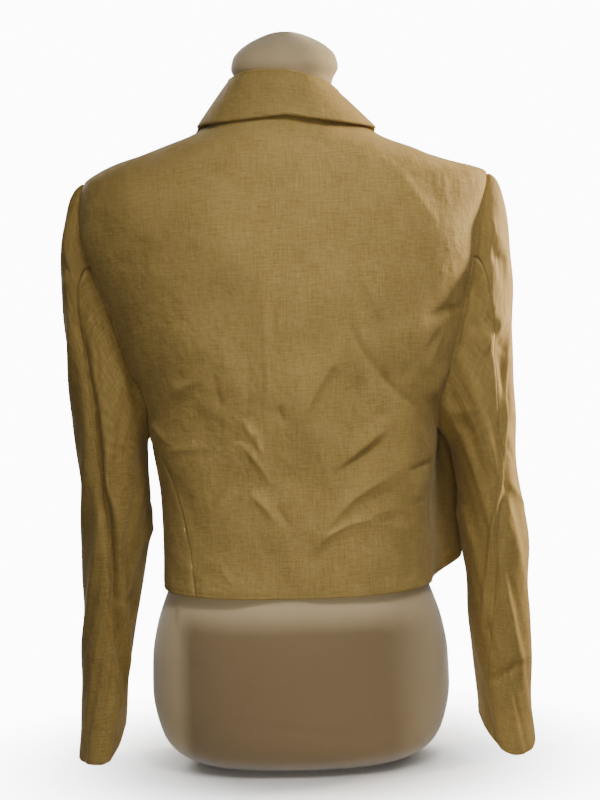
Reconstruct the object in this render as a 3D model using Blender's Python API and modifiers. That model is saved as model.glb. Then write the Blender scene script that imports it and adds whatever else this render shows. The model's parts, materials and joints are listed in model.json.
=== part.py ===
"""Cropped blazer worn by a limbless dress form.

Metres, +Z up. The jacket's back faces +Y and its front faces -Y, the wearer's left is +X, and the
origin is the middle of the form's flat base. Each cloth panel is a patch of one torso surface or of
one sleeve surface, worked out from the tables below, and Solidify gives it the thickness of its wall.
"""

import math

import bpy
import numpy as np

for thing in list(bpy.data.objects):
    bpy.data.objects.remove(thing, do_unlink=True)

LEFT = 1
RIGHT = -1
SIDE_NAMES = {LEFT: "left", RIGHT: "right"}
QUARTER_TURN = math.pi / 2


def table(columns, rows):
    """Give a short table as one array for each named column."""
    return dict(zip(columns.split(), np.array(rows, dtype=float).T))


# Walls, and the gaps that are left where two pieces meet
PANEL_WALL = 0.0016
LAPEL_WALL = 0.0018
COLLAR_WALL = 0.0022
SEAM_GAP = 0.0009
ARMHOLE_GAP = 0.0012
LAY_GAP = 0.0006

# Heights on the jacket
HEM_HEIGHT = 0.185
WAIST_TOP_HEIGHT = 0.310
UNDERARM_HEIGHT = 0.340
SHOULDER_TIP_HEIGHT = 0.601
NECK_SIDE_HEIGHT = 0.662
NECK_BACK_HEIGHT = 0.675

# Torso rings: half widths of the two sides, depths behind and in front of the side line, squareness
TORSO = table("height left right back front square", [
    (0.185, 0.1390, 0.1390, 0.105, 0.118, 2.40),
    (0.230, 0.1380, 0.1380, 0.103, 0.120, 2.40),
    (0.275, 0.1390, 0.1390, 0.104, 0.124, 2.40),
    (0.330, 0.1465, 0.1465, 0.109, 0.129, 2.35),
    (0.368, 0.1510, 0.1510, 0.113, 0.131, 2.35),
    (0.390, 0.1600, 0.1600, 0.115, 0.131, 2.30),
    (0.436, 0.1770, 0.1760, 0.118, 0.129, 2.30),
    (0.494, 0.1970, 0.1900, 0.119, 0.121, 2.30),
    (0.512, 0.2055, 0.1937, 0.118, 0.118, 2.28),
    (0.530, 0.2125, 0.1970, 0.117, 0.114, 2.25),
    (0.550, 0.2160, 0.1995, 0.115, 0.110, 2.19),
    (0.570, 0.2160, 0.2020, 0.112, 0.105, 2.12),
    (0.590, 0.2125, 0.2050, 0.107, 0.099, 2.00),
    (0.601, 0.2070, 0.2035, 0.104, 0.096, 1.92),
    (0.607, 0.1970, 0.1935, 0.102, 0.093, 1.90),
    (0.615, 0.1805, 0.1665, 0.099, 0.089, 1.88),
    (0.6265, 0.1525, 0.1310, 0.092, 0.082, 1.86),
    (0.638, 0.1215, 0.1020, 0.085, 0.075, 1.86),
    (0.645, 0.1010, 0.0905, 0.080, 0.070, 1.90),
    (0.652, 0.0870, 0.0805, 0.074, 0.066, 1.95),
    (0.664, 0.0710, 0.0680, 0.065, 0.059, 2.00),
    (0.680, 0.0635, 0.0620, 0.056, 0.052, 2.00),
])

# Side seams, as turns in degrees from the centre back
SIDE_SEAM = table("height left right", [
    (0.185, 52, 76),
    (0.250, 57, 75),
    (0.310, 66, 77),
    (0.328, 75, 82),
    (0.340, 90, 90),
])

# Armholes: how far the back edge and the front edge lie from the side line
ARMHOLE_BACK_REACH = {LEFT: 0.034, RIGHT: 0.045}
ARMHOLE_FRONT_REACH = 0.062

# Right front swings out at its hem, most at one turn, and its hem rises there; near the underarm the
# swing keeps clear of the armhole
FLARE = table("height reach", [
    (0.185, 0.049),
    (0.215, 0.052),
    (0.270, 0.050),
    (0.300, 0.046),
    (0.325, 0.038),
    (0.345, 0.026),
    (0.360, 0.012),
    (0.372, 0.000),
])
FLARE_RISE = 0.016
FLARE_TURN = math.radians(120)
FLARE_WIDTH = math.radians(18)
FLARE_CLEAR_START = math.radians(98)
FLARE_CLEAR_END = math.radians(118)
FLARE_CLEAR_LOW = 0.280

# Centre back of the hem hangs a little lower than its sides
HEM_DIP = 0.003
HEM_BAND = 0.070

# Largest folds of the back, seen from behind: line from foot to head, height of the ridge, width
BACK_FOLDS = table("foot_x foot_z head_x head_z rise width", [
    (-0.017, 0.239, -0.088, 0.305, 0.0045, 0.010),
    (-0.026, 0.224, -0.070, 0.262, -0.0035, 0.011),
    (-0.038, 0.309, -0.083, 0.337, -0.0030, 0.011),
    (-0.100, 0.386, -0.054, 0.450, 0.0030, 0.014),
    (0.030, 0.338, 0.050, 0.360, 0.0025, 0.011),
    (0.038, 0.318, 0.056, 0.346, -0.0025, 0.011),
    (0.136, 0.381, 0.093, 0.401, 0.0025, 0.012),
])

# Front closing: each front passes the centre by the overlap, and the right one lies on the left one
OVERLAP = 0.018
LAP_STEP = 0.0025
LAP_FADE_START = 0.030
LAP_FADE_END = 0.060
ROLL_FOOT_HEIGHT = 0.268
ROLL_HEAD_HEIGHT = 0.660
ROLL_HEAD_REACH = 0.0665

# Lapels: width from the roll line at each height, up to the point and along the gorge
LAPEL = table("height width", [
    (0.278, 0.004),
    (0.330, 0.020),
    (0.400, 0.040),
    (0.470, 0.059),
    (0.535, 0.075),
    (0.550, 0.062),
    (0.565, 0.046),
    (0.580, 0.028),
    (0.594, 0.008),
])
LAPEL_ROLL_OVER = 0.0030
LAPEL_EDGE_LIFT = 0.0004

# Collar from centre back to gorge: neck seam, fold above the seam, and lower edge on the torso
COLLAR = table("station seam_turn seam_height fold_rise fold_lean edge_turn edge_height", [
    (0.00, 0, 0.6760, 0.0315, -0.005, 0, 0.6575),
    (0.22, 40, 0.6720, 0.0310, -0.0085, 42, 0.6515),
    (0.42, 80, 0.6650, 0.0315, -0.0150, 78, 0.6490),
    (0.52, 100, 0.6645, 0.0300, -0.0145, 96, 0.6480),
    (0.64, 124, 0.6610, 0.024, -0.005, 108, 0.641),
    (0.80, 138, 0.6440, 0.015, 0.003, 120, 0.613),
    (1.00, 152, 0.6060, 0.006, 0.005, 132, 0.562),
])
COLLAR_FOLD_RADIUS = 0.0032
COLLAR_EDGE_LIFT = 0.0054
COLLAR_FALL_SWELL = 0.0010
COLLAR_FALL_START = 0.35

# Collar stands higher on the left shoulder than on the right, evenly out towards the front
FOLD_TILT = 0.0070
EDGE_TILT = 0.0025
TILT_FADE_START = 0.52
TILT_FADE_END = 0.80

# Sleeves below the cap: centre line, half width across and half depth front to back
SLEEVES = {
    LEFT: table("height centre_x centre_y half_x half_y", [
        (0.003, 0.2110, -0.026, 0.0245, 0.050),
        (0.069, 0.2055, -0.022, 0.0245, 0.051),
        (0.121, 0.2010, -0.018, 0.0260, 0.054),
        (0.171, 0.1938, -0.014, 0.0298, 0.057),
        (0.223, 0.1900, -0.012, 0.0335, 0.060),
        (0.274, 0.1875, -0.011, 0.0372, 0.062),
        (0.318, 0.1888, -0.010, 0.0377, 0.064),
    ]),
    RIGHT: table("height centre_x centre_y half_x half_y", [
        (0.003, 0.2160, -0.026, 0.0300, 0.050),
        (0.069, 0.2120, -0.022, 0.0295, 0.051),
        (0.110, 0.2100, -0.019, 0.0310, 0.054),
        (0.162, 0.2070, -0.015, 0.0325, 0.057),
        (0.226, 0.2040, -0.012, 0.0340, 0.060),
        (0.285, 0.1990, -0.011, 0.0325, 0.062),
        (0.318, 0.1950, -0.010, 0.0350, 0.064),
    ]),
}
CAP_FOOT_HEIGHT = 0.318
CAP_LATERAL = {LEFT: 0.100, RIGHT: 0.080}
CAP_LATERAL_LEAST = 0.015
CAP_LATERAL_POWER = 1.5
CAP_BACKWARD = {LEFT: 0.030, RIGHT: 0.050}
CAP_DOWNWARD = 0.020
CAP_FALL = 1.2
FOREARM_SEAM = math.radians(245)

# Cuff edges: height at each angle round the sleeve in degrees, lowest behind and highest inside
CUFF = table("angle left right", [
    (-115, 0.030, 0.032),
    (-60, 0.016, 0.024),
    (0, 0.005, 0.013),
    (40, 0.003, 0.004),
    (80, 0.003, 0.002),
    (117, 0.006, 0.010),
    (150, 0.020, 0.025),
    (180, 0.033, 0.036),
    (245, 0.030, 0.032),
])

# Hindarm seam down the back of each sleeve, sunk in a trough with a ridge on its inner side:
# share of the way from cap to cuff, angle round the sleeve in degrees; it swings inwards over the cap
HINDARM_SWING = math.radians(4)
HINDARM = table("share angle", [
    (0.00, 66),
    (0.11, 73),
    (0.27, 89),
    (0.50, 106),
    (0.77, 127),
    (1.00, 132),
])
FOLD_START = 0.05
FOLD_END = 0.60
TROUGH_DEPTH = 0.0035
TROUGH_WIDTH = math.radians(15)
RIDGE_RISE = 0.0025
RIDGE_OFFSET = math.radians(26)
RIDGE_WIDTH = math.radians(16)

# Dress form rings: half width, depths behind and in front, squareness
FORM = table("height half back front square", [
    (0.0000, 0.0940, 0.058, 0.054, 2.30),
    (0.0030, 0.1060, 0.070, 0.066, 2.30),
    (0.0100, 0.1220, 0.086, 0.081, 2.30),
    (0.0220, 0.1370, 0.098, 0.092, 2.30),
    (0.0420, 0.1470, 0.106, 0.099, 2.30),
    (0.0780, 0.1535, 0.110, 0.103, 2.30),
    (0.1120, 0.1525, 0.110, 0.103, 2.30),
    (0.1450, 0.1470, 0.107, 0.100, 2.30),
    (0.1860, 0.1330, 0.099, 0.096, 2.30),
    (0.2260, 0.1200, 0.089, 0.092, 2.25),
    (0.2600, 0.1140, 0.082, 0.090, 2.20),
    (0.3000, 0.1170, 0.083, 0.094, 2.20),
    (0.3500, 0.1270, 0.090, 0.106, 2.20),
    (0.4000, 0.1390, 0.097, 0.115, 2.20),
    (0.4400, 0.1500, 0.101, 0.116, 2.20),
    (0.5000, 0.1670, 0.102, 0.106, 2.20),
    (0.5500, 0.1810, 0.099, 0.094, 2.10),
    (0.5850, 0.1880, 0.092, 0.084, 1.95),
    (0.6020, 0.1830, 0.087, 0.078, 1.85),
    (0.6125, 0.1650, 0.084, 0.075, 1.82),
    (0.6240, 0.1300, 0.079, 0.070, 1.80),
    (0.6355, 0.1010, 0.073, 0.064, 1.82),
    (0.6425, 0.0890, 0.068, 0.060, 1.85),
    (0.6495, 0.0785, 0.063, 0.058, 1.90),
    (0.6615, 0.0640, 0.056, 0.057, 1.95),
    (0.6740, 0.0525, 0.050, 0.056, 2.00),
    (0.6870, 0.0465, 0.046, 0.053, 2.00),
    (0.7000, 0.0490, 0.045, 0.053, 2.00),
    (0.7120, 0.0548, 0.047, 0.054, 2.00),
    (0.7230, 0.0525, 0.044, 0.051, 2.00),
    (0.7330, 0.0440, 0.037, 0.043, 2.00),
    (0.7430, 0.0270, 0.023, 0.027, 2.00),
    (0.7490, 0.0090, 0.008, 0.009, 2.00),
])

# Button on the right front
BUTTON_HEIGHT = 0.252
BUTTON_RADIUS = 0.0100
BUTTON_THICKNESS = 0.0036
BUTTON_ROUNDING = 0.0009

# How finely each piece is divided
BACK_COLUMNS = 14
FRONT_COLUMNS = 10
WAIST_ROWS = 11
SIDE_ROWS = 3
ARMHOLE_ROWS = 12
SHOULDER_ROWS = 6
LAPEL_COLUMNS = 5
LAPEL_ROWS = 14
COLLAR_STATIONS = 15
FALL_STEPS = 4
CAP_ROWS = 8
ARM_ROWS = 12
TOP_SLEEVE_COLUMNS = 14
UNDER_SLEEVE_COLUMNS = 12
FORM_COLUMNS = 28
BUTTON_SIDES = 24
NORMAL_STEP = 1e-4

# Colours, linear, and roughnesses
CLOTH_COLOUR = (0.330, 0.215, 0.085, 1.0)
CLOTH_ROUGHNESS = 0.80
FORM_COLOUR = (0.560, 0.450, 0.310, 1.0)
FORM_ROUGHNESS = 0.85
BUTTON_COLOUR = (0.170, 0.100, 0.040, 1.0)
BUTTON_ROUGHNESS = 0.40

pieces = bpy.data.collections.new("cropped_blazer_on_dress_form")
bpy.context.scene.collection.children.link(pieces)


def along(rows, column, at, key="height"):
    """Read a column as a smooth curve through its rows that never overshoots them."""
    knots = rows[key]
    values = rows[column]
    secants = np.diff(values) / np.diff(knots)
    before, after = secants[:-1], secants[1:]
    agree = before * after > 0
    total = np.where(agree, before + after, 1.0)
    inner = np.where(agree, 2.0 * before * after / total, 0.0)
    slopes = np.concatenate([secants[:1], inner, secants[-1:]])
    at = np.clip(at, knots[0], knots[-1])
    index = np.clip(np.searchsorted(knots, at) - 1, 0, len(knots) - 2)
    step = knots[index + 1] - knots[index]
    t = (at - knots[index]) / step
    start = (1 + 2 * t) * (1 - t) ** 2 * values[index] + t * (1 - t) ** 2 * step * slopes[index]
    end = t * t * (3 - 2 * t) * values[index + 1] + t * t * (t - 1) * step * slopes[index + 1]
    return start + end


def ease(start, end, value):
    """Rise smoothly from 0 at start to 1 at end."""
    t = np.clip((value - start) / (end - start), 0.0, 1.0)
    return t * t * (3 - 2 * t)


def bell(distance, width):
    """Soft hump of height 1 that has faded out at about twice its width."""
    return np.exp(-((distance / width) ** 2))


def ring_radius(turn, half, depth, square):
    """Distance from the axis to a rounded-square ring, at a turn from the centre back."""
    across = np.abs(np.sin(turn) / half) ** square
    along_depth = np.abs(np.cos(turn) / depth) ** square
    return (across + along_depth) ** (-1.0 / square)


def torso_depth(turn, height):
    """Depth of the torso ring on the side of the body that a turn points to."""
    return np.where(np.cos(turn) >= 0, along(TORSO, "back", height), along(TORSO, "front", height))


def torso_plain(turn, height, side):
    """Point of the torso surface without its folds; turn runs from centre back to centre front."""
    half = along(TORSO, SIDE_NAMES[side], height)
    radius = ring_radius(turn, half, torso_depth(turn, height), along(TORSO, "square", height))
    x = side * radius * np.sin(turn)
    if side == RIGHT:
        swing = bell(turn - FLARE_TURN, FLARE_WIDTH)
        clear = ease(FLARE_CLEAR_START, FLARE_CLEAR_END, turn)
        high = ease(FLARE_CLEAR_LOW, UNDERARM_HEIGHT, height)
        x = x - along(FLARE, "reach", height) * swing * (1 - high * (1 - clear))
    return np.stack([x, radius * np.cos(turn), height], axis=-1)


def torso_outward(turn, height, side):
    """Unit normal of the plain torso surface, pointing out of the body."""
    by_turn = torso_plain(turn + NORMAL_STEP, height, side) - torso_plain(turn - NORMAL_STEP, height, side)
    by_height = torso_plain(turn, height + NORMAL_STEP, side) - torso_plain(turn, height - NORMAL_STEP, side)
    normal = side * np.cross(by_height, by_turn)
    return normal / np.linalg.norm(normal, axis=-1, keepdims=True)


def fold_height(points):
    """Sum of the back's folds at points: each is a bell across the line from its foot to its head."""
    total = np.zeros(points.shape[:-1])
    for foot_x, foot_z, head_x, head_z, rise, width in zip(*BACK_FOLDS.values()):
        line = np.array([head_x - foot_x, head_z - foot_z])
        offset = np.stack([points[..., 0] - foot_x, points[..., 2] - foot_z], axis=-1)
        share = np.clip(offset @ line / (line @ line), 0.0, 1.0)
        distance = np.linalg.norm(offset - share[..., None] * line, axis=-1)
        total = total + rise * bell(distance, width)
    return np.where(points[..., 1] > 0, total, 0.0)


def torso_point(turn, height, side, proud=0.0):
    """Point of the worn cloth: the torso with its folds and its front lap, moved out by proud."""
    plain = torso_plain(turn, height, side)
    reach = plain[..., 0] * side
    lap = LAP_STEP * (1 - ease(LAP_FADE_START, LAP_FADE_END, reach)) * (np.cos(turn) < 0)
    lift = fold_height(plain) - side * lap + proud
    return plain + torso_outward(turn, height, side) * lift[..., None]


def turn_at_reach(height, side, reach):
    """Turn at which the front of the torso lies a given distance from the centre line."""
    half = along(TORSO, SIDE_NAMES[side], height)
    square = along(TORSO, "square", height)
    share = 1 - np.abs(reach / half) ** square
    depth = along(TORSO, "front", height) * share ** (1 / square)
    return np.mod(np.arctan2(reach, -depth), 2 * math.pi)


def armhole_point(angle, side):
    """Armhole loop, an oval seen from the side: angle 0 at the shoulder tip, a quarter turn behind."""
    middle = (SHOULDER_TIP_HEIGHT + UNDERARM_HEIGHT) / 2
    height = middle + (SHOULDER_TIP_HEIGHT - UNDERARM_HEIGHT) / 2 * np.cos(angle)
    reach = np.where(np.sin(angle) >= 0, ARMHOLE_BACK_REACH[side], ARMHOLE_FRONT_REACH)
    y = reach * np.sin(angle)
    depth = np.where(y >= 0, along(TORSO, "back", height), along(TORSO, "front", height))
    square = along(TORSO, "square", height)
    share = 1 - np.abs(y / depth) ** square
    x = side * along(TORSO, SIDE_NAMES[side], height) * share ** (1 / square)
    return np.stack([x, y, height], axis=-1)


def armhole_turn(height, side, behind):
    """Turn of the armhole's back or front edge at a height between underarm and shoulder tip."""
    middle = (SHOULDER_TIP_HEIGHT + UNDERARM_HEIGHT) / 2
    half = (SHOULDER_TIP_HEIGHT - UNDERARM_HEIGHT) / 2
    angle = np.arccos(np.clip((height - middle) / half, -1.0, 1.0))
    point = armhole_point(angle if behind else -angle, side)
    return np.arctan2(point[..., 0] * side, point[..., 1])


def panel_heights():
    """Rows of the torso panels: even up to the underarm, then even round the armhole's oval."""
    waist = np.linspace(HEM_HEIGHT, WAIST_TOP_HEIGHT, WAIST_ROWS + 1)
    under = np.linspace(WAIST_TOP_HEIGHT, UNDERARM_HEIGHT, SIDE_ROWS + 1)
    swing = np.linspace(math.pi, 0, ARMHOLE_ROWS + 1)
    share = (1 + np.cos(swing)) / 2
    armhole = UNDERARM_HEIGHT + (SHOULDER_TIP_HEIGHT - UNDERARM_HEIGHT) * share
    shoulder = np.linspace(SHOULDER_TIP_HEIGHT, NECK_SIDE_HEIGHT, SHOULDER_ROWS + 1)
    return np.concatenate([waist, under[1:], armhole[1:], shoulder[1:]])


def outer_edge(heights, side, behind):
    """Edge of a panel away from its centre: side seam, then armhole, then shoulder seam."""
    seam = np.radians(along(SIDE_SEAM, SIDE_NAMES[side], heights))
    edge = np.where(heights < UNDERARM_HEIGHT, seam, armhole_turn(heights, side, behind))
    edge = np.where(heights >= SHOULDER_TIP_HEIGHT, QUARTER_TURN, edge)
    radius = ring_radius(edge, along(TORSO, SIDE_NAMES[side], heights), torso_depth(edge, heights),
                         along(TORSO, "square", heights))
    gap = SEAM_GAP / 2 / radius
    return edge - gap if behind else edge + gap


def roll_reach(heights):
    """Distance of a front's free edge from the centre line: the overlap, then the roll line."""
    share = np.clip((heights - ROLL_FOOT_HEIGHT) / (ROLL_HEAD_HEIGHT - ROLL_FOOT_HEIGHT), 0.0, 1.0)
    return -OVERLAP + (ROLL_HEAD_REACH + OVERLAP) * share


def hung_heights(turns, heights, side):
    """Bend the hem row and the neck row of a panel: hem dip, right flare and rise to the back neck."""
    low = 1 - ease(HEM_HEIGHT, HEM_HEIGHT + HEM_BAND, heights)
    shift = -HEM_DIP * low * np.clip(np.cos(turns), 0.0, 1.0)
    if side == RIGHT:
        shift = shift + FLARE_RISE * low * bell(turns - FLARE_TURN, FLARE_WIDTH)
    high = np.clip((heights - SHOULDER_TIP_HEIGHT) / (NECK_SIDE_HEIGHT - SHOULDER_TIP_HEIGHT), 0.0, 1.0)
    neck = (NECK_BACK_HEIGHT - NECK_SIDE_HEIGHT) * high * np.clip(np.cos(turns), 0.0, 1.0) ** 2
    return heights + shift + neck


def material(name, colour, roughness):
    """Plain Principled material."""
    made = bpy.data.materials.new(name)
    made.use_nodes = True
    shader = made.node_tree.nodes["Principled BSDF"]
    shader.inputs["Base Color"].default_value = colour
    shader.inputs["Roughness"].default_value = roughness
    shader.inputs["Metallic"].default_value = 0.0
    return made


def add_mesh(name, points, faces, finish):
    """Put a mesh object with smooth faces into the collection."""
    mesh = bpy.data.meshes.new(name)
    mesh.from_pydata(points.tolist(), [], faces)
    mesh.shade_smooth()
    mesh.materials.append(finish)
    piece = bpy.data.objects.new(name, mesh)
    pieces.objects.link(piece)
    return piece


def grid_faces(rows, columns, turned):
    """Quads of a grid of points, wound the other way where turned is true."""
    faces = []
    for row in range(rows - 1):
        for column in range(columns - 1):
            near = row * columns + column
            far = near + columns
            quad = (near, near + 1, far + 1, far)
            faces.append(quad[::-1] if turned else quad)
    return faces


def sew_sheet(name, grid, wall, finish, turned):
    """Make a sheet of cloth from its grid of outer points, with its wall on the inner side."""
    rows, columns = grid.shape[:2]
    piece = add_mesh(name, grid.reshape(-1, 3), grid_faces(rows, columns, turned), finish)
    shell = piece.modifiers.new("wall", "SOLIDIFY")
    shell.thickness = wall
    shell.offset = -1.0
    shell.use_even_offset = True
    shell.use_quality_normals = True
    return piece


def spread(start, end, steps):
    """Columns evenly spread between two edges that have one value for each row."""
    share = np.linspace(0.0, 1.0, steps + 1)
    return start[:, None] * (1 - share) + end[:, None] * share


def back_half(side):
    """Points of the back from its middle out to side seam, armhole and shoulder seam."""
    heights = panel_heights()
    turns = spread(np.zeros_like(heights), outer_edge(heights, side, True), BACK_COLUMNS)
    return torso_point(turns, hung_heights(turns, heights[:, None], side), side)


def make_back(finish):
    """Back in one piece, from the left seams across the middle to the right seams."""
    left_inwards = back_half(LEFT)[:, :0:-1]
    grid = np.concatenate([left_inwards, back_half(RIGHT)], axis=1)
    return sew_sheet("back", grid, PANEL_WALL, finish, False)


def make_front(side, finish):
    """Front, from side seam, armhole and shoulder seam to its overlap and the roll of its lapel."""
    heights = panel_heights()
    free_edge = turn_at_reach(heights, side, roll_reach(heights))
    turns = spread(outer_edge(heights, side, False), free_edge, FRONT_COLUMNS)
    levels = hung_heights(turns, heights[:, None], side)
    name = "front_" + SIDE_NAMES[side]
    return sew_sheet(name, torso_point(turns, levels, side), PANEL_WALL, finish, side == LEFT)


def make_lapel(side, finish):
    """Lapel: the front's own points moved out, rolled over its edge and lifting at its point."""
    heights = np.linspace(LAPEL["height"][0], LAPEL["height"][-1], LAPEL_ROWS + 1)
    roll = roll_reach(heights)
    width = np.interp(heights, LAPEL["height"], LAPEL["width"])
    reach = spread(roll - LAPEL_ROLL_OVER, roll + width, LAPEL_COLUMNS)
    share = np.linspace(0.0, 1.0, LAPEL_COLUMNS + 1)
    proud = LAPEL_WALL + LAY_GAP + LAPEL_EDGE_LIFT * share ** 2
    turns = turn_at_reach(heights[:, None], side, reach)
    levels = np.broadcast_to(heights[:, None], turns.shape)
    grid = torso_point(turns, levels, side, np.broadcast_to(proud, turns.shape))
    return sew_sheet("lapel_" + SIDE_NAMES[side], grid, LAPEL_WALL, finish, side == RIGHT)


def collar_sections(station, side):
    """Sections of the collar at stations from centre back to gorge: stand, fold, then fall."""
    seam_turn = np.radians(along(COLLAR, "seam_turn", station, "station"))
    seam_height = along(COLLAR, "seam_height", station, "station")
    edge_turn = np.radians(along(COLLAR, "edge_turn", station, "station"))
    edge_height = along(COLLAR, "edge_height", station, "station")
    tilt = side * (1 - ease(TILT_FADE_START, TILT_FADE_END, station))
    rise = (along(COLLAR, "fold_rise", station, "station") + FOLD_TILT * tilt * np.sin(seam_turn))[:, None]
    lean = along(COLLAR, "fold_lean", station, "station")[:, None]
    edge_height = edge_height + EDGE_TILT * tilt * np.sin(edge_turn)
    seam = torso_plain(seam_turn, seam_height, side)
    edge = torso_point(edge_turn, edge_height, side, np.full(len(station), COLLAR_EDGE_LIFT))
    away = np.stack([side * np.sin(seam_turn), np.cos(seam_turn), np.zeros(len(station))], axis=-1)
    up = np.array([0.0, 0.0, 1.0])
    fold = seam + rise * up + lean * away
    radius = np.minimum(COLLAR_FOLD_RADIUS, rise)
    inner = fold - radius * (away + up)
    outer = fold + radius * (away - up)
    swell = torso_outward(edge_turn, edge_height, side) * COLLAR_FALL_SWELL
    control = outer + (edge - outer) * COLLAR_FALL_START + swell
    section = [seam, (seam + inner) / 2, inner, fold]
    for step in range(FALL_STEPS + 1):
        t = step / FALL_STEPS
        section.append((1 - t) ** 2 * outer + 2 * t * (1 - t) * control + t * t * edge)
    return np.stack(section, axis=0)


def make_collar(finish):
    """Collar in one piece, from the left gorge round the back of the neck to the right gorge."""
    station = np.linspace(0.0, 1.0, COLLAR_STATIONS + 1)
    left = collar_sections(station[::-1], LEFT)
    right = collar_sections(station[1:], RIGHT)
    grid = np.concatenate([left, right], axis=1)
    return sew_sheet("collar", grid, COLLAR_WALL, finish, True)


def sleeve_ring(angle, height, side):
    """Oval of the sleeve at a height: angle 0 at its outer side, a quarter turn at its back."""
    rows = SLEEVES[side]
    across = along(rows, "half_x", height) * np.cos(angle)
    x = side * (along(rows, "centre_x", height) + across)
    y = along(rows, "centre_y", height) + along(rows, "half_y", height) * np.sin(angle)
    return np.stack([x, y, height], axis=-1)


def sleeve_cap(angle, share, side):
    """Head of the sleeve: curves that leave the armhole sideways and end straight down on the arm."""
    start = armhole_point(angle, side)
    high = ((1 + np.cos(angle)) / 2) ** CAP_LATERAL_POWER
    lateral = side * (CAP_LATERAL_LEAST + CAP_LATERAL[side] * high)
    leave = np.stack([lateral, CAP_BACKWARD[side] * np.sin(angle), np.full_like(angle, -CAP_DOWNWARD)], axis=-1)
    start = start + ARMHOLE_GAP * leave / np.linalg.norm(leave, axis=-1, keepdims=True)
    end = sleeve_ring(angle, np.full_like(angle, CAP_FOOT_HEIGHT), side)
    drop = CAP_FALL * (end[..., 2] - start[..., 2])
    arrive = np.stack([np.zeros_like(drop), np.zeros_like(drop), drop], axis=-1)
    t = share[..., None]
    from_start = (1 + 2 * t) * (1 - t) ** 2 * start + t * (1 - t) ** 2 * leave
    from_end = t * t * (3 - 2 * t) * end + t * t * (t - 1) * arrive
    return from_start + from_end


def sleeve_arc(angle, height, side):
    """Length of the sleeve's oval for each radian of angle."""
    rows = SLEEVES[side]
    return np.hypot(along(rows, "half_x", height) * np.sin(angle), along(rows, "half_y", height) * np.cos(angle))


def sleeve_rows():
    """Rows of a sleeve: share of the cap, then share of the arm below it."""
    cap = np.concatenate([np.linspace(0.0, 1.0, CAP_ROWS + 1), np.ones(ARM_ROWS)])
    arm = np.concatenate([np.zeros(CAP_ROWS + 1), np.linspace(0.0, 1.0, ARM_ROWS + 1)[1:]])
    return cap, arm


def hindarm_angle(cap, arm):
    """Angle of the hindarm seam at shares of the cap and of the arm below it."""
    return np.radians(along(HINDARM, "angle", arm, "share")) + HINDARM_SWING * (1 - cap)


def sleeve_grid(angles, side):
    """Points of a sleeve piece from armhole to slanted cuff, with the trough of the hindarm seam."""
    cap, arm = (np.broadcast_to(share[:, None], angles.shape) for share in sleeve_rows())
    cuff = along(CUFF, SIDE_NAMES[side], np.degrees(angles), "angle")
    heights = CAP_FOOT_HEIGHT + (cuff - CAP_FOOT_HEIGHT) * arm
    below = sleeve_ring(angles, heights, side)
    above = sleeve_cap(angles, cap, side)
    grid = np.where((cap < 1)[..., None], above, below)
    off = angles - hindarm_angle(cap, arm)
    trough = TROUGH_DEPTH * bell(off, TROUGH_WIDTH)
    ridge = RIDGE_RISE * bell(off - RIDGE_OFFSET, RIDGE_WIDTH)
    lift = (ridge - trough) * ease(FOLD_START, FOLD_END, cap)
    rows = SLEEVES[side]
    out_x = side * np.cos(angles) / along(rows, "half_x", heights)
    out_y = np.sin(angles) / along(rows, "half_y", heights)
    out = np.stack([out_x, out_y, np.zeros_like(out_x)], axis=-1)
    return grid + out * (lift / np.hypot(out_x, out_y))[..., None]


def make_sleeve(side, finish):
    """Top sleeve over the outside of the arm and under sleeve on its inside, with seams between."""
    cap, arm = sleeve_rows()
    levels = CAP_FOOT_HEIGHT * (1 - arm)
    hind = hindarm_angle(cap, arm)
    fore = np.full_like(hind, FOREARM_SEAM)
    hind_gap = SEAM_GAP / 2 / sleeve_arc(hind, levels, side)
    fore_gap = SEAM_GAP / 2 / sleeve_arc(fore, levels, side)
    top = spread(fore - 2 * math.pi + fore_gap, hind - hind_gap, TOP_SLEEVE_COLUMNS)
    under = spread(hind + hind_gap, fore - fore_gap, UNDER_SLEEVE_COLUMNS)
    for part, angles in (("top_sleeve_", top), ("under_sleeve_", under)):
        sew_sheet(part + SIDE_NAMES[side], sleeve_grid(angles, side), PANEL_WALL, finish, side == LEFT)


def make_form(finish):
    """Dress form: rings from the flat base to the domed top of the neck, closed at both ends."""
    heights = FORM["height"]
    turns = np.arange(FORM_COLUMNS) * 2 * math.pi / FORM_COLUMNS
    turn = np.broadcast_to(turns, (len(heights), FORM_COLUMNS))
    depth = np.where(np.cos(turn) >= 0, FORM["back"][:, None], FORM["front"][:, None])
    radius = ring_radius(turn, FORM["half"][:, None], depth, FORM["square"][:, None])
    level = np.broadcast_to(heights[:, None], turn.shape)
    points = np.stack([radius * np.sin(turn), radius * np.cos(turn), level], axis=-1)
    faces = []
    for row in range(len(heights) - 1):
        for column in range(FORM_COLUMNS):
            beside = (column + 1) % FORM_COLUMNS
            low = row * FORM_COLUMNS
            high = low + FORM_COLUMNS
            faces.append((low + beside, low + column, high + column, high + beside))
    base = list(range(FORM_COLUMNS))
    top = [(len(heights) - 1) * FORM_COLUMNS + column for column in range(FORM_COLUMNS)]
    faces.append(base)
    faces.append(top[::-1])
    return add_mesh("dress_form", points.reshape(-1, 3), faces, finish)


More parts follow.
